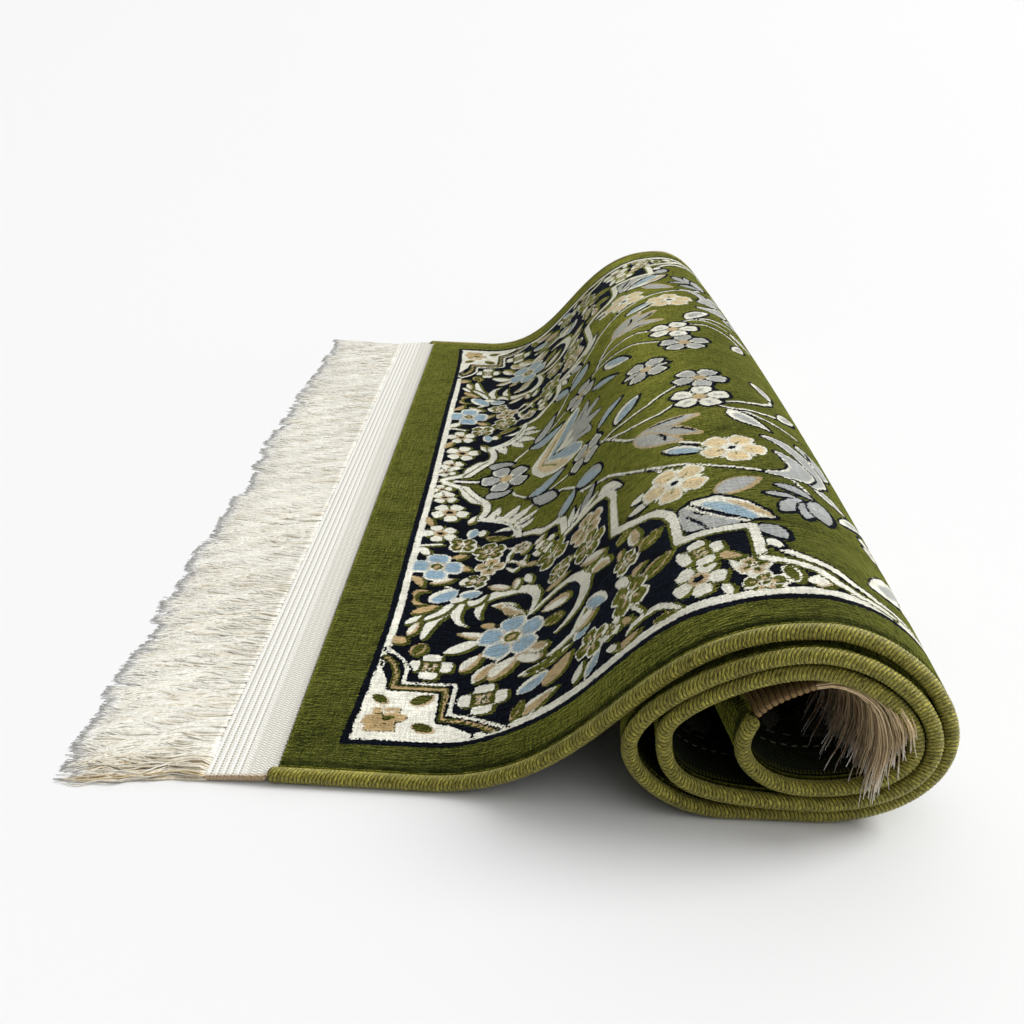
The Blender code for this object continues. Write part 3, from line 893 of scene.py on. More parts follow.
def draw_corner(pattern):
    """The stepped corner with its blocky flower and its two lines."""
    corner = polygon(CORNER)
    pattern.paint(NAVY, corner, 1.5)
    pattern.paint(CREAM, corner)
    for row in CORNER_LEAVES:
        draw_leaf(pattern, *row)
    blocky = polygon(CORNER_BLOCK)
    pattern.paint(OLIVE, blocky, 0.3, (0.7, -0.7))
    pattern.paint(TAN, blocky)
    paint_strokes(
        pattern,
        (OLIVE, 0.0, ((58, -345, 2.2), (62, -344, 1.6))),
        (OLIVE, 0.0, ((50, -340, 0.7), (56, -341, 1.0))),
        (OLIVE, 0.0, ((52, -352, 0.8), (60, -351, 0.8))),
        (CREAM, 0.0, ((56, -336, 0.7), (57, -340, 1.0), (63, -338, 0.6))),
        (NAVY, 1.6, CORNER_BAND),
        (OLIVE, 0.0, CORNER_BAND),
        (TAN, -1.7, CORNER_BAND),
        (NAVY, 1.8, CORNER_LINE),
        (CREAM, 0.0, CORNER_LINE),
    )


def draw_field_edge(pattern, field_at):
    """The field's ground, its cream bands and the white spray over them."""
    pattern.paint(OLIVE, polygon(FIELD))
    for rows in BANDS:
        pattern.only = -field_at
        pattern.paint(OLIVE, stroke(rows), 2.0)
        pattern.only = field_at
        pattern.paint(NAVY, stroke(rows), 1.8)
        pattern.only = None
        pattern.paint(CREAM, stroke(rows))
    middle = ((76, -15, 0.9), (84, -28, 1.0), (92, -41, 1.0), (98, -48, 0.8))
    pattern.paint(OLIVE, stroke(middle))
    for rows in SPRAY:
        paint_strokes(pattern, (NAVY, 1.0, rows), (CREAM, 0.0, rows))
    for rows in VEINS:
        pattern.paint(OLIVE, stroke(rows))


def draw_field(pattern):
    """The field's stems, leaves and flowers."""
    for points in STEMS:
        rows = [(x, y, STEM_HALF) for x, y in points]
        pattern.paint(NAVY, stroke(rows), 0.6, STEM_SHADOW)
        pattern.paint(CREAM, stroke(rows))
    for row in FIELD_LEAVES:
        draw_leaf(pattern, *row)
    draw_tulip(pattern)
    draw_bell(pattern)
    draw_leaf_pair(pattern)
    for row in FIELD_FLOWERS:
        draw_flower(pattern, *row)
    paint_strokes(
        pattern,
        (NAVY, 0.0, ((266, -101.5, 0.8), (278, -103, 1.2), (290, -102, 0.8))),
        (NAVY, 0.0, ((270, -119, 1.0), (274, -127, 1.4), (274, -134, 1.0))),
        (NAVY, 0.0, ((279, -117, 0.8), (288, -123, 1.3), (294, -132, 1.2))),
    )


def woven_pattern(u, v):
    """The yarns' distance fields at points of the cloth."""
    pattern = Pattern(u, v)
    ground = polygon(inset(FRAME, CREAM_LINE))
    pattern.paint(NAVY, polygon(FRAME))
    pattern.paint(CREAM, polygon(inset(FRAME, NAVY_LINE)))
    pattern.paint(NAVY, ground)
    field_at = pattern.everywhere(polygon(FIELD))
    ground_at = pattern.everywhere(ground)
    pattern.only = np.maximum(ground_at - 1.0, -field_at)
    draw_border(pattern)
    pattern.only = ground_at - 4.0
    draw_corner(pattern)
    pattern.only = None
    draw_field_edge(pattern, field_at)
    pattern.only = field_at
    draw_field(pattern)
    return pattern.fields


# ------------------------------------------------------------------- materials
def new_material(name):
    made = bpy.data.materials.new(name)
    made.use_nodes = True
    tree = made.node_tree
    tree.nodes.clear()
    shader = tree.nodes.new("ShaderNodeBsdfPrincipled")
    output = tree.nodes.new("ShaderNodeOutputMaterial")
    tree.links.new(shader.outputs[0], output.inputs["Surface"])
    return made, Graph(tree), shader


class Graph:
    """Short calls that add nodes; a number or a socket may be an input."""

    def __init__(self, tree):
        self.tree = tree

    def link(self, value, socket):
        if isinstance(value, bpy.types.NodeSocket):
            self.tree.links.new(value, socket)
        elif value is not None:
            socket.default_value = value

    def add(self, kind, values, operation=None):
        """The outputs of a new node with its first inputs set; None skips an input."""
        node = self.tree.nodes.new("ShaderNode" + kind)
        if operation is not None:
            node.operation = operation
        for value, socket in zip(values, node.inputs):
            self.link(value, socket)
        return node.outputs

    def math(self, operation, a, b=None):
        return self.add("Math", (a, b), operation)[0]

    def vector(self, operation, a, b=None):
        outputs = self.add("VectorMath", (a, b), operation)
        return outputs["Value" if operation == "DOT_PRODUCT" else "Vector"]

    def attribute(self, name, output="Fac"):
        node = self.tree.nodes.new("ShaderNodeAttribute")
        node.attribute_name = name
        return node.outputs[output]

    def split(self, vector):
        return self.add("SeparateXYZ", (vector,))

    def join(self, x, y, z=0.0):
        return self.add("CombineXYZ", (x, y, z))[0]

    def white(self, vector):
        return self.add("TexWhiteNoise", (vector,))

    def noise(self, vector, scale, detail, roughness=0.5):
        return self.add("TexNoise", (vector, None, scale, detail, roughness))["Fac"]

    def remap(self, value, low, high, to_low, to_high):
        return self.add("MapRange", (value, low, high, to_low, to_high))[0]

    def voronoi(self, vector, scale, jitter):
        node = self.tree.nodes.new("ShaderNodeTexVoronoi")
        self.link(vector, node.inputs["Vector"])
        node.inputs["Scale"].default_value = scale
        node.inputs["Randomness"].default_value = jitter
        return node.outputs

    def mix(self, factor, a, b, blend="MIX"):
        node = self.tree.nodes.new("ShaderNodeMix")
        node.data_type = "RGBA"
        node.blend_type = blend
        self.link(factor, node.inputs["Factor"])
        for value, socket in zip((a, b), (node.inputs[6], node.inputs[7])):
            if isinstance(value, tuple) and len(value) == 3:
                value = (*value, 1.0)
            self.link(value, socket)
        return node.outputs[2]

    def bump(self, height, strength, distance):
        node = self.tree.nodes.new("ShaderNodeBump")
        node.inputs["Strength"].default_value = strength
        node.inputs["Distance"].default_value = distance
        self.link(height, node.inputs["Height"])
        return node.outputs[0]

    def times(self, first, *others):
        for other in others:
            first = self.math("MULTIPLY", first, other)
        return first

    def scaled(self, colour, factor):
        """A colour made lighter or darker by a factor."""
        return self.mix(1.0, colour, self.join(factor, factor, factor), "MULTIPLY")

    def sine(self, value, factor):
        return self.math("SINE", self.times(value, factor))

    def from_half(self, value):
        """How far a share lies from one half."""
        return self.math("ABSOLUTE", self.math("SUBTRACT", value, 0.5))

    def grain(self, place, stretch, detail, roughness=0.5):
        """A noise of a place that is stretched by its own factor each way."""
        return self.noise(self.vector("MULTIPLY", place, stretch), 1.0, detail, roughness)

    def thread_grain(self, x, y, stretch, detail, layer=0.0):
        """The same of two measures, in one layer of the noise."""
        stretched = self.join(self.times(x, stretch[0]), self.times(y, stretch[1]), layer)
        return self.noise(stretched, 1.0, detail)

    def shade(self, grain, dark, light):
        """A factor from a grain, which lies mostly between 0.3 and 0.7."""
        return self.remap(grain, 0.3, 0.7, dark, light)


def linear(red, green, blue):
    """A display colour from 0 to 255 as linear light."""
    shares = [c / 255 for c in (red, green, blue)]
    return tuple(c / 12.92 if c <= 0.04045 else ((c + 0.055) / 1.055) ** 2.4 for c in shares)


YARN_COLOURS = (
    linear(3, 5, 12), linear(43, 48, 18), linear(242, 240, 226),
    linear(184, 154, 106), linear(134, 168, 192), linear(163, 166, 169),
    linear(226, 200, 150),
)
BLEND = 0.6                # millimetres over which two of the light yarns mix
PILE_JITTER = 1.3          # a knot's colours lie off by up to half this, in millimetres
BACK_JITTER = 1.4          # and on the back by up to half this
BACK_RIB = 0.0021          # pitch of the ribs along the back
BACK_PICK = 0.0014         # and of the picks across them
# Dashed rows of pale stitches on the back: v and the pitch of the dashes.
BACK_ROWS = ((-0.366, 0.0062), (-0.356, 0.0100), (0.366, 0.0062))
BACK_ROW_HALF = 0.0006
BACK_DARK_EDGE = 0.0012
TOOTH_REACH = 0.011        # the cord's stitches reach in by up to half this


def yarn_at(g, jitter):
    """The yarn colour at a place: the light yarns mix, navy and olive stay crisp."""
    place = g.attribute("place", "Vector")
    cell = g.vector("FLOOR", g.vector("DIVIDE", place, (KNOT, KNOT, 1.0)))
    ragged = g.split(g.white(cell)[1])
    fields = []
    for k, yarn in enumerate(YARNS):
        wobble = g.math("SUBTRACT", ragged[k % 3], 0.5)
        wobble = g.math("MULTIPLY", wobble, jitter if k < 3 else -jitter)
        fields.append(g.math("ADD", g.attribute("yarn_" + yarn), wobble))
    total = weights = best = None
    for field, tone in zip(fields[2:], YARN_COLOURS[2:]):
        weight = g.math("EXPONENT", g.math("MULTIPLY", field, -1.0 / BLEND))
        part = g.vector("MULTIPLY", tone, g.join(weight, weight, weight))
        total = part if total is None else g.vector("ADD", total, part)
        weights = weight if weights is None else g.math("ADD", weights, weight)
        best = field if best is None else g.math("MINIMUM", best, field)
    colour = g.vector("DIVIDE", total, g.join(weights, weights, weights))
    for field, tone in zip(fields[:2], YARN_COLOURS[:2]):
        colour = g.mix(g.math("LESS_THAN", field, best), colour, tone)
        best = g.math("MINIMUM", best, field)
    return place, cell, colour, best


def pile_material():
    """Cut pile: streaked knots with a sheen in the yarn's own colour, and painted shade along the
    colour edges.
    """
    made, g, shader = new_material("pile_woven")
    place, cell, colour, best = yarn_at(g, PILE_JITTER)
    streaks = g.grain(place, (110.0, 560.0, 1.0), 3.0, 0.6)
    specks = g.grain(place, (700.0, 900.0, 1.0), 2.0)
    clouds = g.grain(place, (12.0, 34.0, 1.0), 5.0, 0.75)
    picks = g.grain(place, (520.0, 70.0, 1.0), 2.0)
    tuft = g.white(cell)[0]
    shade = g.times(
        g.times(g.shade(streaks, 0.40, 1.60), g.shade(specks, 0.60, 1.42)),
        g.times(g.shade(picks, 0.76, 1.24), g.shade(clouds, 0.56, 1.44)),
        g.remap(tuft, 0.0, 1.0, 0.90, 1.10),
        # painted shade: darker within 0.6 mm of every colour edge, as in carved grooves
        g.remap(best, -0.6, -0.1, 1.0, 0.80),
    )
    # Light yarns take less of the shade than dark ones.
    depth = g.remap(g.split(colour)[1], 0.0, 0.5, 1.0, 0.42)
    shade = g.math("ADD", 1.0, g.times(g.math("SUBTRACT", shade, 1.0), depth))
    g.link(g.scaled(colour, shade), shader.inputs["Base Color"])
    fine = g.noise(place, 2600.0, 2.0)
    knots = g.voronoi(g.vector("DIVIDE", place, (KNOT, KNOT, 1.0)), 1.0, 0.7)[0]
    height = g.math("SUBTRACT", g.times(fine, 0.5), knots)
    height = g.math("ADD", height, g.times(g.math("ADD", streaks, picks), 2.2))
    g.link(g.bump(height, 0.8, 0.0006), shader.inputs["Normal"])
    bright = g.vector("MULTIPLY", g.scaled(colour, shade), (30.0, 26.0, 18.0))
    g.link(g.vector("MINIMUM", bright, (0.92, 0.90, 0.64)), shader.inputs["Sheen Tint"])
    shader.inputs["Roughness"].default_value = 0.9
    shader.inputs["Specular IOR Level"].default_value = 0.04
    shader.inputs["Sheen Weight"].default_value = 1.0
    shader.inputs["Sheen Roughness"].default_value = 0.34
    return made


def back_material():
    """The flat woven back: ribs along the cloth, dashed rows and a toothed edge."""
    made, g, shader = new_material("back_woven")
    place, _, colour, _ = yarn_at(g, BACK_JITTER)
    along, over, _ = g.split(place)
    ribs = g.sine(over, 2 * pi / BACK_RIB)
    picks = g.sine(along, 2 * pi / BACK_PICK)
    weave = g.times(ribs, g.remap(picks, -1.0, 1.0, 0.5, 1.0))
    muted = g.mix(0.85, colour, linear(26, 34, 16))
    muted = g.scaled(muted, g.remap(weave, -1.0, 1.0, 0.45, 1.15))
    for row, pitch in BACK_ROWS:
        from_row = g.math("ABSOLUTE", g.math("SUBTRACT", over, row))
        on_row = g.math("LESS_THAN", from_row, BACK_ROW_HALF)
        dashed = g.math("LESS_THAN", g.math("FRACT", g.math("DIVIDE", along, pitch)), 0.5)
        muted = g.mix(g.times(on_row, dashed), muted, linear(150, 146, 128))
    from_edge = g.math("SUBTRACT", PILE_EDGE, g.math("ABSOLUTE", over))
    tooth = g.from_half(g.math("FRACT", g.math("DIVIDE", along, STITCH)))
    on_tooth = g.math("LESS_THAN", from_edge, g.times(tooth, TOOTH_REACH))
    muted = g.mix(on_tooth, muted, linear(92, 92, 30))
    muted = g.mix(g.math("LESS_THAN", from_edge, BACK_DARK_EDGE), muted, linear(12, 14, 6))
    g.link(muted, shader.inputs["Base Color"])
    g.link(g.bump(weave, 0.7, 0.0004), shader.inputs["Normal"])
    shader.inputs["Roughness"].default_value = 0.85
    shader.inputs["Specular IOR Level"].default_value = 0.2
    return made


def cord_material():
    """Overcast yarn: each stitch its own shade, painted shade in the grooves between stitches, fine
    fibres along it.
    """
    made, g, shader = new_material("edge_yarn")
    phase, around_cord, _ = g.split(g.attribute("place", "Vector"))
    stitch = g.white(g.join(g.math("FLOOR", phase), 0.0))[0]
    # Painted shade: each stitch darker towards its edges, darkest in the grooves between stitches.
    stitch_groove_shade = g.remap(g.from_half(g.math("FRACT", phase)), 0.5, 0.22, 0.13, 1.12)
    fibres = g.thread_grain(phase, around_cord, (9.0, 0.6), 2.0)
    patches = g.thread_grain(phase, around_cord, (0.16, 0.12), 1.0, 5.0)
    shade = g.times(
        stitch_groove_shade,
        g.remap(stitch, 0.0, 1.0, 0.78, 1.20),
        g.remap(fibres, 0.35, 0.65, 0.40, 1.45),
        g.shade(patches, 0.85, 1.15),
    )
    light = g.remap(fibres, 0.4, 0.6, 0.0, 1.0)
    colour = g.mix(light, linear(100, 92, 20), linear(172, 164, 72))
    g.link(g.scaled(colour, shade), shader.inputs["Base Color"])
    g.link(g.bump(fibres, 0.9, 0.0006), shader.inputs["Normal"])
    shader.inputs["Roughness"].default_value = 0.42
    shader.inputs["Specular IOR Level"].default_value = 0.35
    shader.inputs["Specular Tint"].default_value = (1.0, 0.98, 0.62, 1.0)
    shader.inputs["Sheen Weight"].default_value = 0.25
    shader.inputs["Sheen Tint"].default_value = (0.85, 0.86, 0.45, 1.0)
    return made


def tape_material(name, light, dark):
    """Heading tape: dotted ribs with painted shade in their grooves, and a flat zigzag weave where it
    has no ribs.
    """
    made, g, shader = new_material(name)
    rib, pick, ribbed = g.split(g.attribute("place", "Vector"))
    from_crown = g.from_half(g.math("FRACT", rib))
    turn = g.times(pick, 2 * pi)
    # Painted shade: darker in the grooves between the ribs, in dots where the picks cross them.
    groove = g.remap(from_crown, 0.26, 0.46, 0.0, 1.0)
    dots = g.times(groove, g.remap(g.math("SINE", turn), -1.0, 1.0, 0.25, 1.0))
    zigzag = g.math("ADD", turn, g.times(from_crown, 7.0))
    weave = g.remap(g.math("SINE", zigzag), -1.0, 1.0, 0.0, 0.70)
    flat = g.math("SUBTRACT", 1.0, ribbed)
    hollow = g.math("ADD", g.times(dots, ribbed), g.times(weave, flat))
    speckle = g.noise(g.join(g.times(rib, 4.0), pick), 1.3, 2.0)
    colour = g.mix(hollow, light, dark)
    # Tan towards the tape's near end.
    colour = g.mix(g.attribute("near_end_tan"), colour, linear(178, 146, 100))
    g.link(g.scaled(colour, g.shade(speckle, 0.82, 1.10)), shader.inputs["Base Color"])
    height = g.math("SUBTRACT", g.times(speckle, 0.4), hollow)
    g.link(g.bump(height, 0.8, 0.0006), shader.inputs["Normal"])
    shader.inputs["Roughness"].default_value = 0.65
    shader.inputs["Specular IOR Level"].default_value = 0.2
    return made


def strand_material(name, light, dark, tip):
    """Silky fringe yarn: a shade per strand, painted shade towards the dark colour and painted light
    towards the tip colour.
    """
    made, g, shader = new_material(name)
    painted_shade, along, own = g.split(g.attribute("place", "Vector"))
    mixed = g.mix(painted_shade, light, dark)
    # Painted light: towards their tips the strands turn to the lighter tip colour.
    mixed = g.mix(g.remap(along, 0.86, 1.0, 0.0, 0.8), mixed, tip)
    crimp = g.thread_grain(own, along, (900.0, 34.0), 2.0)
    shade = g.times(g.remap(own, 0.0, 1.0, 0.92, 1.06), g.remap(crimp, 0.35, 0.65, 0.86, 1.08))
    g.link(g.scaled(mixed, shade), shader.inputs["Base Color"])
    g.link(g.bump(crimp, 0.5, 0.0005), shader.inputs["Normal"])
    shader.inputs["Roughness"].default_value = 0.42
    shader.inputs["Specular IOR Level"].default_value = 0.45
    shader.inputs["Sheen Weight"].default_value = 0.15
    return made


# ---------------------------------------------------------------------- pieces
def around(low, high, step):
    """Evenly spaced values from low to high, about step apart."""
    return np.linspace(low, high, int(round((high - low) / step)) + 1)


PILE_ROUND = 0.0016        # the pile rounds off at its sides by this,
ROUND_OVER = 1.5           # over about this many millimetres
BARE = 0.0009              # height of the bare backing at the flat end,
PILE_FROM = 4.6            # which the pile leaves here, in millimetres,
PILE_RISE = 2.2            # over this much
WOUND_DROP = 0.0022        # the pile drops by this at the wound end,
DROP_FROM = 1.0            # between here, in millimetres from the end,
DROP_OVER = 2.5            # and this much further in


def pile_height(u, v):
    """How high the pile stands over the cloth's middle."""
    from_edge = (PILE_EDGE - np.abs(v)) * MM
    height = HALF - PILE_ROUND * np.exp(-((from_edge / ROUND_OVER) ** 2))
    start = smooth_step((u * MM - PILE_FROM) / PILE_RISE)
    end = smooth_step(((LENGTH - u) * MM - DROP_FROM) / DROP_OVER)
    return np.minimum(height, BARE + (HALF - BARE) * start - WOUND_DROP * (1 - end))


def cloth_rows():
    """The rows of the pile side: distances u, each with its own list of v."""
    margin = np.array([-391, -390.4, -389.2, -387, -382, -376]) / MM

    def line(step):
        return np.concatenate([margin, around(-0.371, 0.371, step), -margin[::-1]])

    fine, medium, coarse = line(0.0023), line(0.0046), line(0.024)
    start = [0.0, 0.0022, 0.0044, 0.0050, 0.0056, 0.0063, 0.0070, 0.0100, 0.018, 0.027]
    rows = [(u, medium) for u in start]
    rows += [(u, fine) for u in around(0.034, 0.402, 0.0017)]
    rows += [(u, medium) for u in around(0.4055, 0.640, 0.0046)]
    rows += [(u, coarse) for u in around(0.650, LENGTH - 0.008, 0.0105)]
    rows += [(LENGTH - d, coarse) for d in (0.004, 0.002, 0.0)]
    return rows


def grid(rows, offset):
    """Vertex numbers, u and v of every row, and the faces between rows."""
    numbers, us, vs, faces = [], [], [], []
    for u, line in rows:
        numbers.append(np.arange(len(line)) + offset)
        offset += len(line)
        us.append(np.full(len(line), u))
        vs.append(line)
    for first, second, a, b in zip(numbers[:-1], numbers[1:], vs[:-1], vs[1:]):
        if len(a) == len(b):
            faces += quads(first, second)
        else:
            faces += zipped(first, a, second, b)
    return numbers, np.concatenate(us), np.concatenate(vs), faces


def build_cloth():
    """One closed piece: the pile side, the flat back and the walls between them."""
    top_rows = cloth_rows()
    line = np.concatenate([[-0.391, -0.385], around(-0.372, 0.372, 0.031), [0.385, 0.391]])
    back_rows = [(u, line) for u in around(0.0, LENGTH, 0.0105)]
    top, top_u, top_v, top_faces = grid(top_rows, 0)
    back, back_u, back_v, back_faces = grid(back_rows, len(top_u))
    faces = top_faces + turned(back_faces)
    material_of = [0] * len(top_faces) + [1] * len(back_faces)
    u_top = np.array([u for u, _ in top_rows])
    u_back = np.array([u for u, _ in back_rows])
    walls = zipped([n[0] for n in back], u_back, [n[0] for n in top], u_top)
    walls += turned(zipped([n[-1] for n in back], u_back, [n[-1] for n in top], u_top))
    walls += turned(zipped(back[0], back_rows[0][1], top[0], top_rows[0][1]))
    walls += zipped(back[-1], back_rows[-1][1], top[-1], top_rows[-1][1])
    faces += [[int(i) for i in face] for face in walls]
    material_of += [0] * len(walls)
    u = np.concatenate([top_u, back_u])
    v = np.concatenate([top_v, back_v])
    height = np.concatenate([pile_height(top_u, top_v), np.full(len(back_u), -HALF)])
    points = lifted(cloth_middle, u, v, height)
    piece = make_piece("rug_cloth", points, faces, "rug", [pile_material(), back_material()])
    piece.data.polygons.foreach_set("material_index", np.array(material_of, np.int32))
    for yarn, field in zip(YARNS, woven_pattern(u * MM, v * MM)):
        float_attribute(piece, "yarn_" + yarn, field)
    vector_attribute(piece, "place", np.stack([u, v, np.zeros(len(u))], axis=1))
    return piece


CORD_SIDES = 14            # sides of the cord's section
CORD_FINE_TO = 0.52        # the cord has its finer steps up to here,
CORD_COARSE = 3            # and this many to a stitch after that
CORD_SEED = 11
KNOT_COUNT = 700           # knots of the stitches' wander along the edge,
KNOT_PITCH = 0.0035        # one for each of these,
WANDER = 0.00045           # twice as far as it goes
RIDGE = 0.00055            # height of a stitch's ridge
STITCH_COUNT = 1200        # more than the cord has
CORD_END = 0.003           # the cord's ends round off over this


def build_cord(name, node, side, material, fine):
    """The overcast edge: a round cord under slanting stitches."""
    steps = np.concatenate(
        [
            np.arange(-STITCH_LEAN, CORD_FINE_TO, STITCH / fine),
            np.arange(CORD_FINE_TO, LENGTH + STITCH_LEAN, STITCH / CORD_COARSE),
        ]
    )
    angles = np.linspace(0, 2 * pi, CORD_SIDES, endpoint=False)
    start, angle = np.meshgrid(steps, angles, indexing="ij")
    u = start - side * STITCH_LEAN * np.cos(angle)
    random = np.random.default_rng(CORD_SEED)
    knots = random.uniform(-0.5, 0.5, KNOT_COUNT)
    at_knot = start / KNOT_PITCH + 4 + np.cos(angle)
    u = u + WANDER * np.interp(at_knot, np.arange(KNOT_COUNT), knots)
    u = np.clip(u, 0.0, LENGTH)
    phase = start / STITCH
    heights = random.uniform(0.55, 1.25, STITCH_COUNT)
    uneven = np.interp(phase, np.arange(STITCH_COUNT), heights)
    ridge = RIDGE * uneven * (np.abs(np.sin(pi * phase)) ** 0.7 - 1.0)
    ends = np.clip(np.minimum(u, LENGTH - u) / CORD_END, 0.0, 1.0)
    plump = np.sqrt(np.clip(1 - (1 - np.maximum(ends, 0.02)) ** 2, 0, 1))
    radius = (CORD_HALF + 0.0002 + ridge) * plump
    v = side * CORD_MIDDLE + radius * np.cos(angle) * 0.98
    points = lifted(cloth_middle, u, v, radius * np.sin(angle) * 1.01)
    numbers = np.arange(u.size).reshape(u.shape)
    numbers = np.concatenate([numbers, numbers[:, :1]], axis=1)
    faces = []
    for first, second in zip(numbers[:-1], numbers[1:]):
        faces += quads(first, second)
    faces += [numbers[0, :-1].tolist(), numbers[-1, :-1][::-1].tolist()]
    piece = make_piece(name, points.reshape(-1, 3), turned(faces), node, [material])
    place = np.stack([phase, angle * 3.0, np.sin(angle)], axis=-1)
    vector_attribute(piece, "place", place.reshape(-1, 3))
    return piece


TAPE_STEPS = 4             # steps of the outer tape's mesh to a rib
# The outer tape's upper side: x from the cloth's cut end, and its height.
TAPE_TOP_X = (-0.035, -0.030, -0.012, 0.0, TAPE_LAP)
TAPE_TOP_Z = (0.0031, 0.0036, 0.0050, 0.0058, 0.0066)
# Its thickness, thin where it laps over the cloth: share of its width, size.
TAPE_THICK_AT = (0, 0.12, 0.16, 1)
TAPE_THICK = (0.0006, 0.0006, 0.0030, 0.0026)
TAPE_SIDE = 0.0006         # it stops this far inside the rug's sides
TAPE_FLOOR = 0.0003        # and this far over the floor
TAPE_TOOTH = 0.0007        # its lapped edge goes in and out by this
TAPE_CORNER = 0.008        # its lapped corners are cut back over this much
NEAR_END_TAN = 0.0035              # its near end turns tan over this much


def build_outer_tape(material):
    """The flat end's heading tape: ribbed, lapped over the cloth's cut end."""
    steps = TAPE_RIBS * TAPE_STEPS
    share = np.linspace(0, 1, steps + 1)
    ys = around(-RUG_WIDTH / 2 + TAPE_SIDE, RUG_WIDTH / 2 - TAPE_SIDE, 0.0018)
    x = TAPE_LAP - share * (TAPE_WIDTH + TAPE_GAP + TAPE_LAP)
    top = np.interp(x, TAPE_TOP_X, TAPE_TOP_Z)
    ribbed = smooth_step((share - 0.40) / 0.08)
    rib = np.abs(np.sin(pi * TAPE_RIBS * share)) ** 0.7 * (0.45 + 0.55 * ribbed)
    grid_x, grid_y = np.meshgrid(x, ys, indexing="ij")
    grid_z = np.repeat((top + 0.0005 * (rib - 0.6))[:, None], len(ys), axis=1)
    teeth = np.where(np.arange(len(ys)) % 2 == 0, TAPE_TOOTH, -TAPE_TOOTH)
    near_lap = np.clip(1 - share * steps / 3, 0, 1)
    grid_x = grid_x + near_lap[:, None] * teeth[None, :]
    beside = smooth_step((np.abs(grid_y) - (RUG_WIDTH / 2 - TAPE_CORNER)) / TAPE_CORNER)
    grid_x = grid_x - beside * smooth_step(grid_x / TAPE_LAP) * TAPE_LAP * 1.05
    upper = np.stack([grid_x, grid_y, grid_z], axis=-1) + SHIFT
    under = upper.copy()
    under[..., 2] -= np.interp(share, TAPE_THICK_AT, TAPE_THICK)[:, None]
    under[..., 2] = np.maximum(under[..., 2], TAPE_FLOOR)
    points, faces = slab(upper, under)
    piece = make_piece("tape_outer", points, faces, "fringe_outer", [material])
    columns = np.ones(len(ys))
    along = np.repeat(grid_y[:1], len(share), axis=0) / TAPE_PICK
    place = np.stack([np.outer(share * TAPE_RIBS, columns), along, np.outer(ribbed, columns)], axis=-1)
    near_end_tan = np.clip(1.0 - (ys + RUG_WIDTH / 2) / NEAR_END_TAN, 0, 1)
    vector_attribute(piece, "place", np.concatenate([place.reshape(-1, 3)] * 2))
    float_attribute(piece, "near_end_tan", np.tile(np.repeat(near_end_tan[None, :], len(share), axis=0).ravel(), 2))
    return piece


def strand_mesh(paths, radii, name, node, material, marks):
    """One mesh of three-sided strands; paths is strands x points x 3.

    The marks are how much painted shade a strand takes, how far along it a point is and its own random
    shade.
    """
    strands, steps, _ = paths.shape
    along = np.gradient(paths, axis=1)
    along /= np.linalg.norm(along, axis=2, keepdims=True) + 1e-12
    aside = np.cross(along, [0.0, 0.0, 1.0])
    aside /= np.linalg.norm(aside, axis=2, keepdims=True) + 1e-12
    up = np.cross(aside, along)
    corners = []
    for angle in (pi / 2, pi / 2 + 2 * pi / 3, pi / 2 + 4 * pi / 3):
        corners.append(paths + (aside * cos(angle) + up * sin(angle)) * radii[..., None])
    points = np.stack(corners, axis=2).reshape(-1, 3)
    base = (np.arange(strands)[:, None] * steps + np.arange(steps - 1)[None, :]) * 3
    faces = []
    for k in range(3):
        after = (k + 1) % 3
        faces.append(np.stack([base + k, base + 3 + k, base + 3 + after, base + after], axis=-1))
    faces = np.stack(faces, axis=2).reshape(-1, 4).tolist()
    sides = len(faces)
    first = np.arange(strands) * steps * 3
    last = first + (steps - 1) * 3
    faces += np.stack([first, first + 1, first + 2], axis=1).tolist()
    faces += np.stack([last + 2, last + 1, last], axis=1).tolist()
    piece = make_piece(name, points, faces, node, [material])
    piece.data.polygons.foreach_set("use_smooth", np.arange(len(faces)) < sides)
    place = np.stack(np.broadcast_arrays(*marks), axis=-1)
    vector_attribute(piece, "place", np.repeat(place.reshape(-1, 3), 3, axis=0))
    return piece


def slow_noise(random, at, pitch):
    """A smooth random wave along the rug's end, one knot per pitch."""
    knots = int(RUG_WIDTH / pitch) + 3
    values = random.uniform(-1, 1, knots)
    share = (at + RUG_WIDTH / 2) / pitch
    return np.interp(share, np.arange(knots) - 0.5, values)


OUTER_STRANDS = 1800       # in each half of the outer fringe
BED_STRANDS = 480          # of them lie evenly on the floor, under the others
OUTER_STEPS = 17           # points along one of them
WAVE_SEED = 77             # both halves share their slow waves
LOCK_WIDTH = 0.0075
MOST_LOCKS = 200           # more than the fringe has
SUNK = 0.0015              # the strands start this far inside the tape
STRAND_SIDE = 0.0008       # and this far inside the rug's sides
# The outer fringe's waves: millimetres aside, waves across, waves along, phase.
FLOW = ((2.0, 31, 1.5, 1.0), (1.2, 67, -2.3, 2.2), (0.8, 119, 3.6, 0.4))


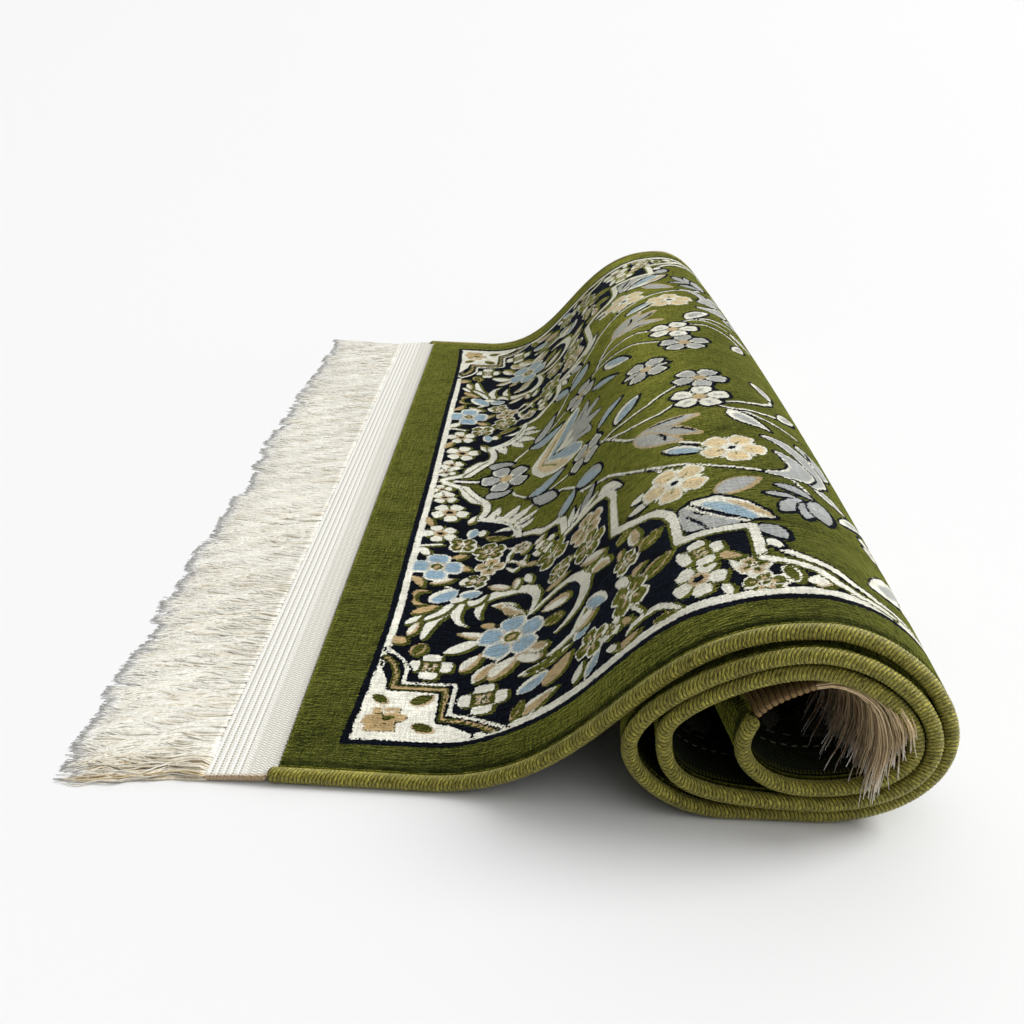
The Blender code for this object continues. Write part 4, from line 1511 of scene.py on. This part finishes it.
def build_outer_strands(material, name, low, high, seed):
    """Crimped strands in loose locks, lying in a thin heap on the floor."""
    random = np.random.default_rng(seed)
    count = OUTER_STRANDS
    loose_roots = random.uniform(low, high, count - BED_STRANDS)
    root = np.concatenate([np.linspace(low, high, BED_STRANDS), loose_roots])
    is_bed = np.arange(count) < BED_STRANDS
    t = np.linspace(0, 1, OUTER_STEPS)[None, :]
    wave = np.random.default_rng(WAVE_SEED)
    # Aside: splay, tilt, arch, each strand's own lean and the pull to its lock's middle.
    tilt = 0.005 * slow_noise(wave, root, 0.045) + 0.004 * slow_noise(wave, root, 0.013)
    arch = 0.0035 * slow_noise(wave, root, 0.05)
    lock = np.floor(root / LOCK_WIDTH + random.uniform(-0.6, 0.6, count)).astype(int)
    own_lock = lock + MOST_LOCKS // 2
    reach = wave.uniform(0.93, 1.06, MOST_LOCKS)[own_lock] + 0.03 * slow_noise(wave, root, 0.03)
    reach = reach + random.uniform(-0.05, 0.02, count)
    gathered = wave.uniform(0.15, 0.75, MOST_LOCKS)[own_lock] * np.where(is_bed, 0.35, 1.0)
    centre = (lock + 0.5) * LOCK_WIDTH + wave.normal(0, 0.0016, MOST_LOCKS)[own_lock]
    from_corner = RUG_WIDTH / 2 - np.abs(root)
    splay = np.sign(root) * OUTER_SPLAY * np.clip(1 - from_corner / SPLAY_DEPTH, 0, 1)
    own = random.normal(0, 0.0030, count) * ~is_bed
    y = root[:, None] + (splay + tilt + own + (centre - root) * gathered)[:, None] * t**1.6
    y = y + arch[:, None] * np.sin(pi * t)
    flow = 0.0
    for aside, across_end, along, shift in FLOW:
        waves = root[:, None] * across_end + along * t
        flow = flow + aside * np.sin(2 * pi * waves + shift)
    y = y + flow / MM * np.minimum(1, 3 * t) * np.where(is_bed, 0.4, 1.0)[:, None]
    turns = random.uniform(2.2, 5.2, count)[:, None]
    phase = random.uniform(0, 2 * pi, count)[:, None]
    size = (random.uniform(0.25, 0.95, count) * np.where(is_bed, 0.3, 1.0))[:, None] / MM
    y = y + size * np.sin(2 * pi * t * turns + phase) * np.minimum(1, 4 * t)
    x = -TAPE_GAP - TAPE_WIDTH + SUNK - (LOCK_LENGTH + SUNK) * reach[:, None] * t
    # Height: a heap that thins out to the tips and is highest at the near corner.
    level = np.where(is_bed, 0.0, random.uniform(0.15, 1, count))
    near = np.exp(-((root + RUG_WIDTH / 2) / 0.03) ** 2)
    heap = 0.0017 + 0.0007 * slow_noise(wave, root, 0.03) + 0.0035 * near
    z = 0.0007 + heap[:, None] * level[:, None] * np.clip(1.15 - 0.95 * t, 0, 1)
    z = z + 0.0003 * np.sin(2 * pi * t * turns * 0.7 + 2 * phase)
    z[:, 0] = 0.0014 + 0.0016 * level
    z = np.maximum(z - 0.0006 * smooth_step((t - 0.7) / 0.3), 0.0003)
    paths = np.stack([x, y, z], axis=-1) + SHIFT
    thin = np.interp(t, [0, 0.75, 1.0], [1.0, 1.0, 0.40])
    bed_thick = 1.0 + 0.7 * is_bed[:, None] * np.clip((0.80 - t) / 0.25, 0, 1)
    radii = random.uniform(0.00042, 0.00068, count)[:, None] * thin * bed_thick
    # Painted shade: a random share of the strands darker, and more of them by the near corner.
    painted_shade = (0.50 * random.uniform(0, 1, count) ** 3)[:, None]
    corner = np.exp(-((root + RUG_WIDTH / 2) / 0.016) ** 2)[:, None]
    painted_shade = np.clip(painted_shade + corner * random.uniform(0, 1, (count, 1)), 0, 1)
    marks = (painted_shade, t, random.uniform(0, 1, (count, 1)))
    return strand_mesh(paths, radii, name, "fringe_outer", material, marks)


INNER_TAPE_HALF = 0.0015   # half its thickness
INNER_TAPE_RIPPLE = 0.00035


def build_inner_tape(material):
    """The wound end's heading tape, standing up inside the mouth."""
    middle = beyond_middle(TAPE_PATH)
    us = np.linspace(0, TAPE_PATH.length, 4 * TAPE_RIBS + 1)
    vs = around(-RUG_WIDTH / 2 + FRINGE_INSET, RUG_WIDTH / 2 - FRINGE_INSET, 0.008)
    u, v = np.meshgrid(us, vs, indexing="ij")
    ripple = INNER_TAPE_RIPPLE * np.cos(2 * pi * TAPE_RIBS * u / TAPE_PATH.length)
    upper, under = (lifted(middle, u, v, side * INNER_TAPE_HALF + ripple) for side in (1, -1))
    points, faces = slab(upper, under)
    piece = make_piece("tape_inner", points, faces, "fringe_inner", [material])
    place = np.stack([u / TAPE_PATH.length * TAPE_RIBS, v / TAPE_PICK, np.ones(u.shape)], axis=-1)
    vector_attribute(piece, "place", np.concatenate([place.reshape(-1, 3)] * 2))
    return piece


INNER_STRANDS = 2600       # strands of the inner fringe
INNER_STEPS = 12           # points along one of them
INNER_SEED = 5
MOUTH_DEPTH = 0.11         # this much of the fringe shows in the roll's mouth,
MOUTH_SHARE = 0.45         # and it has this share of the strands
LOOSE_SHARE = 0.03         # of the strands fall clear of the others


def build_inner_strands(material):
    """Hanging strands that bend over inside the mouth and fan out as they fall."""
    random = np.random.default_rng(INNER_SEED)
    count = INNER_STRANDS
    in_mouth = int(count * MOUTH_SHARE)
    width = RUG_WIDTH / 2 - FRINGE_INSET
    mouth_roots = random.uniform(-width, -width + MOUTH_DEPTH, in_mouth)
    other_roots = random.uniform(-width + MOUTH_DEPTH, width, count - in_mouth)
    root = np.concatenate([mouth_roots, other_roots])[:, None]
    t = np.linspace(0, 1, INNER_STEPS)[None, :]
    # Along the path, straight down past its end, and out of the mouth.
    reach = np.clip(random.normal(0.97, 0.06, count), 0.75, 1.08)[:, None]
    far_along = t * reach * FALL_PATH.length
    out = HANGING_SPLAY * np.clip(1 - (root + RUG_WIDTH / 2) / SPLAY_DEPTH, 0, 1)
    level = random.uniform(-1, 1, count)[:, None]
    on_path = np.minimum(far_along, FALL_PATH.length)
    base = lifted(beyond_middle(FALL_PATH), on_path, root, level * 0.0014 * (1 + t))
    base[..., 2] -= np.maximum(far_along - FALL_PATH.length, 0)
    base[..., 1] -= out * (t * reach) ** 2
    own = random.normal(0, 0.0018, (count, 1))
    base[..., 1] += own * t**1.5
    # The strands fan out sideways, and a few fall loose.
    fan = random.uniform(-1, 1, (count, 1))
    loose = random.uniform(0, 1, (count, 1)) < LOOSE_SHARE
    fanned = np.where(fan > 0, 0.015 * fan, 0.002 * fan)
    spread = np.where(loose, random.uniform(-0.020, -0.006, (count, 1)), fanned) + 0.004
    base[..., 0] += spread * t ** np.where(loose, 0.7, 1.3)
    base[..., 2] += 0.028 * np.where(loose, 0.0, np.maximum(fan, 0)) * t**1.8
    base[..., 0] += random.normal(0, 0.0009, (count, 1)) * t
    length = random.uniform(0.2, 0.5, (count, 1))
    phase = random.uniform(0, 2 * pi, (count, 1))
    base[..., 1] += 0.0004 * np.sin(2 * pi * t / length + phase) * t
    thin = np.concatenate([np.ones(INNER_STEPS - 3), [0.9, 0.75, 0.5]])
    radii = random.uniform(0.00032, 0.00055, count)[:, None] * thin[None, :]
    shade = random.uniform(0, 1, (count, 1))
    # Painted shade: strands deeper in the mouth take more of the dark colour, the loose ones all of
    # it.
    inward = np.clip((root + width - 0.015) / 0.05, 0, 1)
    painted_shade = np.clip(random.uniform(0.0, 0.8, (count, 1)) ** 1.5 + 0.6 * inward + loose, 0, 1)
    marks = (painted_shade, t, shade)
    return strand_mesh(base, radii, "strands_inner", "fringe_inner", material, marks)


# ----------------------------------------------------------------- stage, lights
FLOOR_SIZE = 60.0          # from its middle to its sides
FLOOR_GREY = 0.80
SKY_TOWARDS = (0.66, 0.42, 0.62)
SKY_DIM = 0.08
SKY_BRIGHT = 1.38
BACKDROP = 0.93
SUN_FROM = (1.05, 0.35, 0.85)
SUN_POWER = 2.45
SUN_ANGLE = 24.0
CAMERA_AT = (0.0203, -0.8693, 0.4070)
CAMERA_YAW = -1.80
CAMERA_DOWN = 26.07
CAMERA_ROLL = 2.05
SENSOR = 36.0
FOCAL_SHARE = 1100.0 / 1024.0


def build_stage():
    """The pale floor."""
    made, _, shader = new_material("floor_pale")
    shader.inputs["Base Color"].default_value = (FLOOR_GREY, FLOOR_GREY, FLOOR_GREY, 1.0)
    shader.inputs["Roughness"].default_value = 0.8
    mesh = bpy.data.meshes.new("floor")
    corners = [(x * FLOOR_SIZE, y * FLOOR_SIZE, 0) for x, y in ((-1, -1), (1, -1), (1, 1), (-1, 1))]
    mesh.from_pydata(corners, [], [(0, 1, 2, 3)])
    mesh.materials.append(made)
    floor = add_object("floor", mesh)


def build_lights():
    """A dim surround that is brightest above and behind, and a soft sun."""
    world = bpy.data.worlds.new("studio")
    world.use_nodes = True
    tree = world.node_tree
    g = Graph(tree)
    sky = tree.nodes["Background"]
    place = g.add("TexCoord", ())["Generated"]
    towards = g.vector("DOT_PRODUCT", place, SKY_TOWARDS)
    lit = g.remap(towards, -0.10, 1.0, SKY_DIM, SKY_BRIGHT)
    seen = g.add("LightPath", ())["Is Camera Ray"]
    g.link(g.mix(seen, g.join(lit, lit, lit), (BACKDROP, BACKDROP, BACKDROP)), sky.inputs["Color"])
    bpy.context.scene.world = world
    data = bpy.data.lights.new("sun", "SUN")
    data.energy = SUN_POWER
    data.angle = radians(SUN_ANGLE)
    sun = add_object("sun", data)
    sun.rotation_euler = Vector(SUN_FROM).to_track_quat("Z", "Y").to_euler()


def build_camera():
    """The photo's camera, turned by its heading, its tilt and its roll."""
    yaw, down, roll = (radians(a) for a in (CAMERA_YAW, CAMERA_DOWN, CAMERA_ROLL))
    ahead = Vector((sin(yaw) * cos(down), cos(yaw) * cos(down), -sin(down)))
    right = Vector((cos(yaw), -sin(yaw), 0.0))
    up = right.cross(ahead)
    right, up = right * cos(roll) + up * sin(roll), up * cos(roll) - right * sin(roll)
    data = bpy.data.cameras.new("camera")
    data.sensor_fit = "HORIZONTAL"
    data.sensor_width = SENSOR
    data.lens = SENSOR * FOCAL_SHARE
    data.clip_start = 0.01
    camera = add_object("camera", data)
    turn = Matrix((right, up, -ahead)).transposed().to_4x4()
    camera.matrix_world = Matrix.Translation(CAMERA_AT) @ turn
    bpy.context.scene.camera = camera


def main():
    bpy.context.scene.view_settings.view_transform = "Standard"
    cloth = build_cloth()
    yarn = cord_material()
    near = build_cord("serging_near", "edge_cord_near", -1, yarn, fine=4)
    far = build_cord("serging_far", "edge_cord_far", 1, yarn, fine=3)
    ivory = strand_material(
        "strands_ivory", linear(253, 251, 241), linear(214, 195, 156), linear(255, 255, 253)
    )
    # The hanging fringe is the ivory yarn: its tan and dark colours are painted shade, its tip colour
    # painted light.
    tan = strand_material(
        "strands_ivory_painted_shade", linear(252, 226, 176), linear(120, 92, 56), linear(255, 253, 246)
    )
    tape_ivory = tape_material("tape_ivory", linear(242, 241, 234), linear(186, 177, 156))
    # The inner tape is the ivory tape: its brown colours are painted shade.
    tape_ivory_painted_shade = tape_material("tape_ivory_painted_shade", linear(140, 114, 74), linear(46, 34, 20))
    tape = build_outer_tape(tape_ivory)
    half = RUG_WIDTH / 2 - STRAND_SIDE
    outer_near = build_outer_strands(ivory, "strands_near", -half, 0.0, seed=3)
    outer_far = build_outer_strands(ivory, "strands_far", 0.0, half, seed=4)
    inner = build_inner_tape(tape_ivory_painted_shade)
    hanging = build_inner_strands(tan)
    build_stage()
    build_lights()
    build_camera()


main()
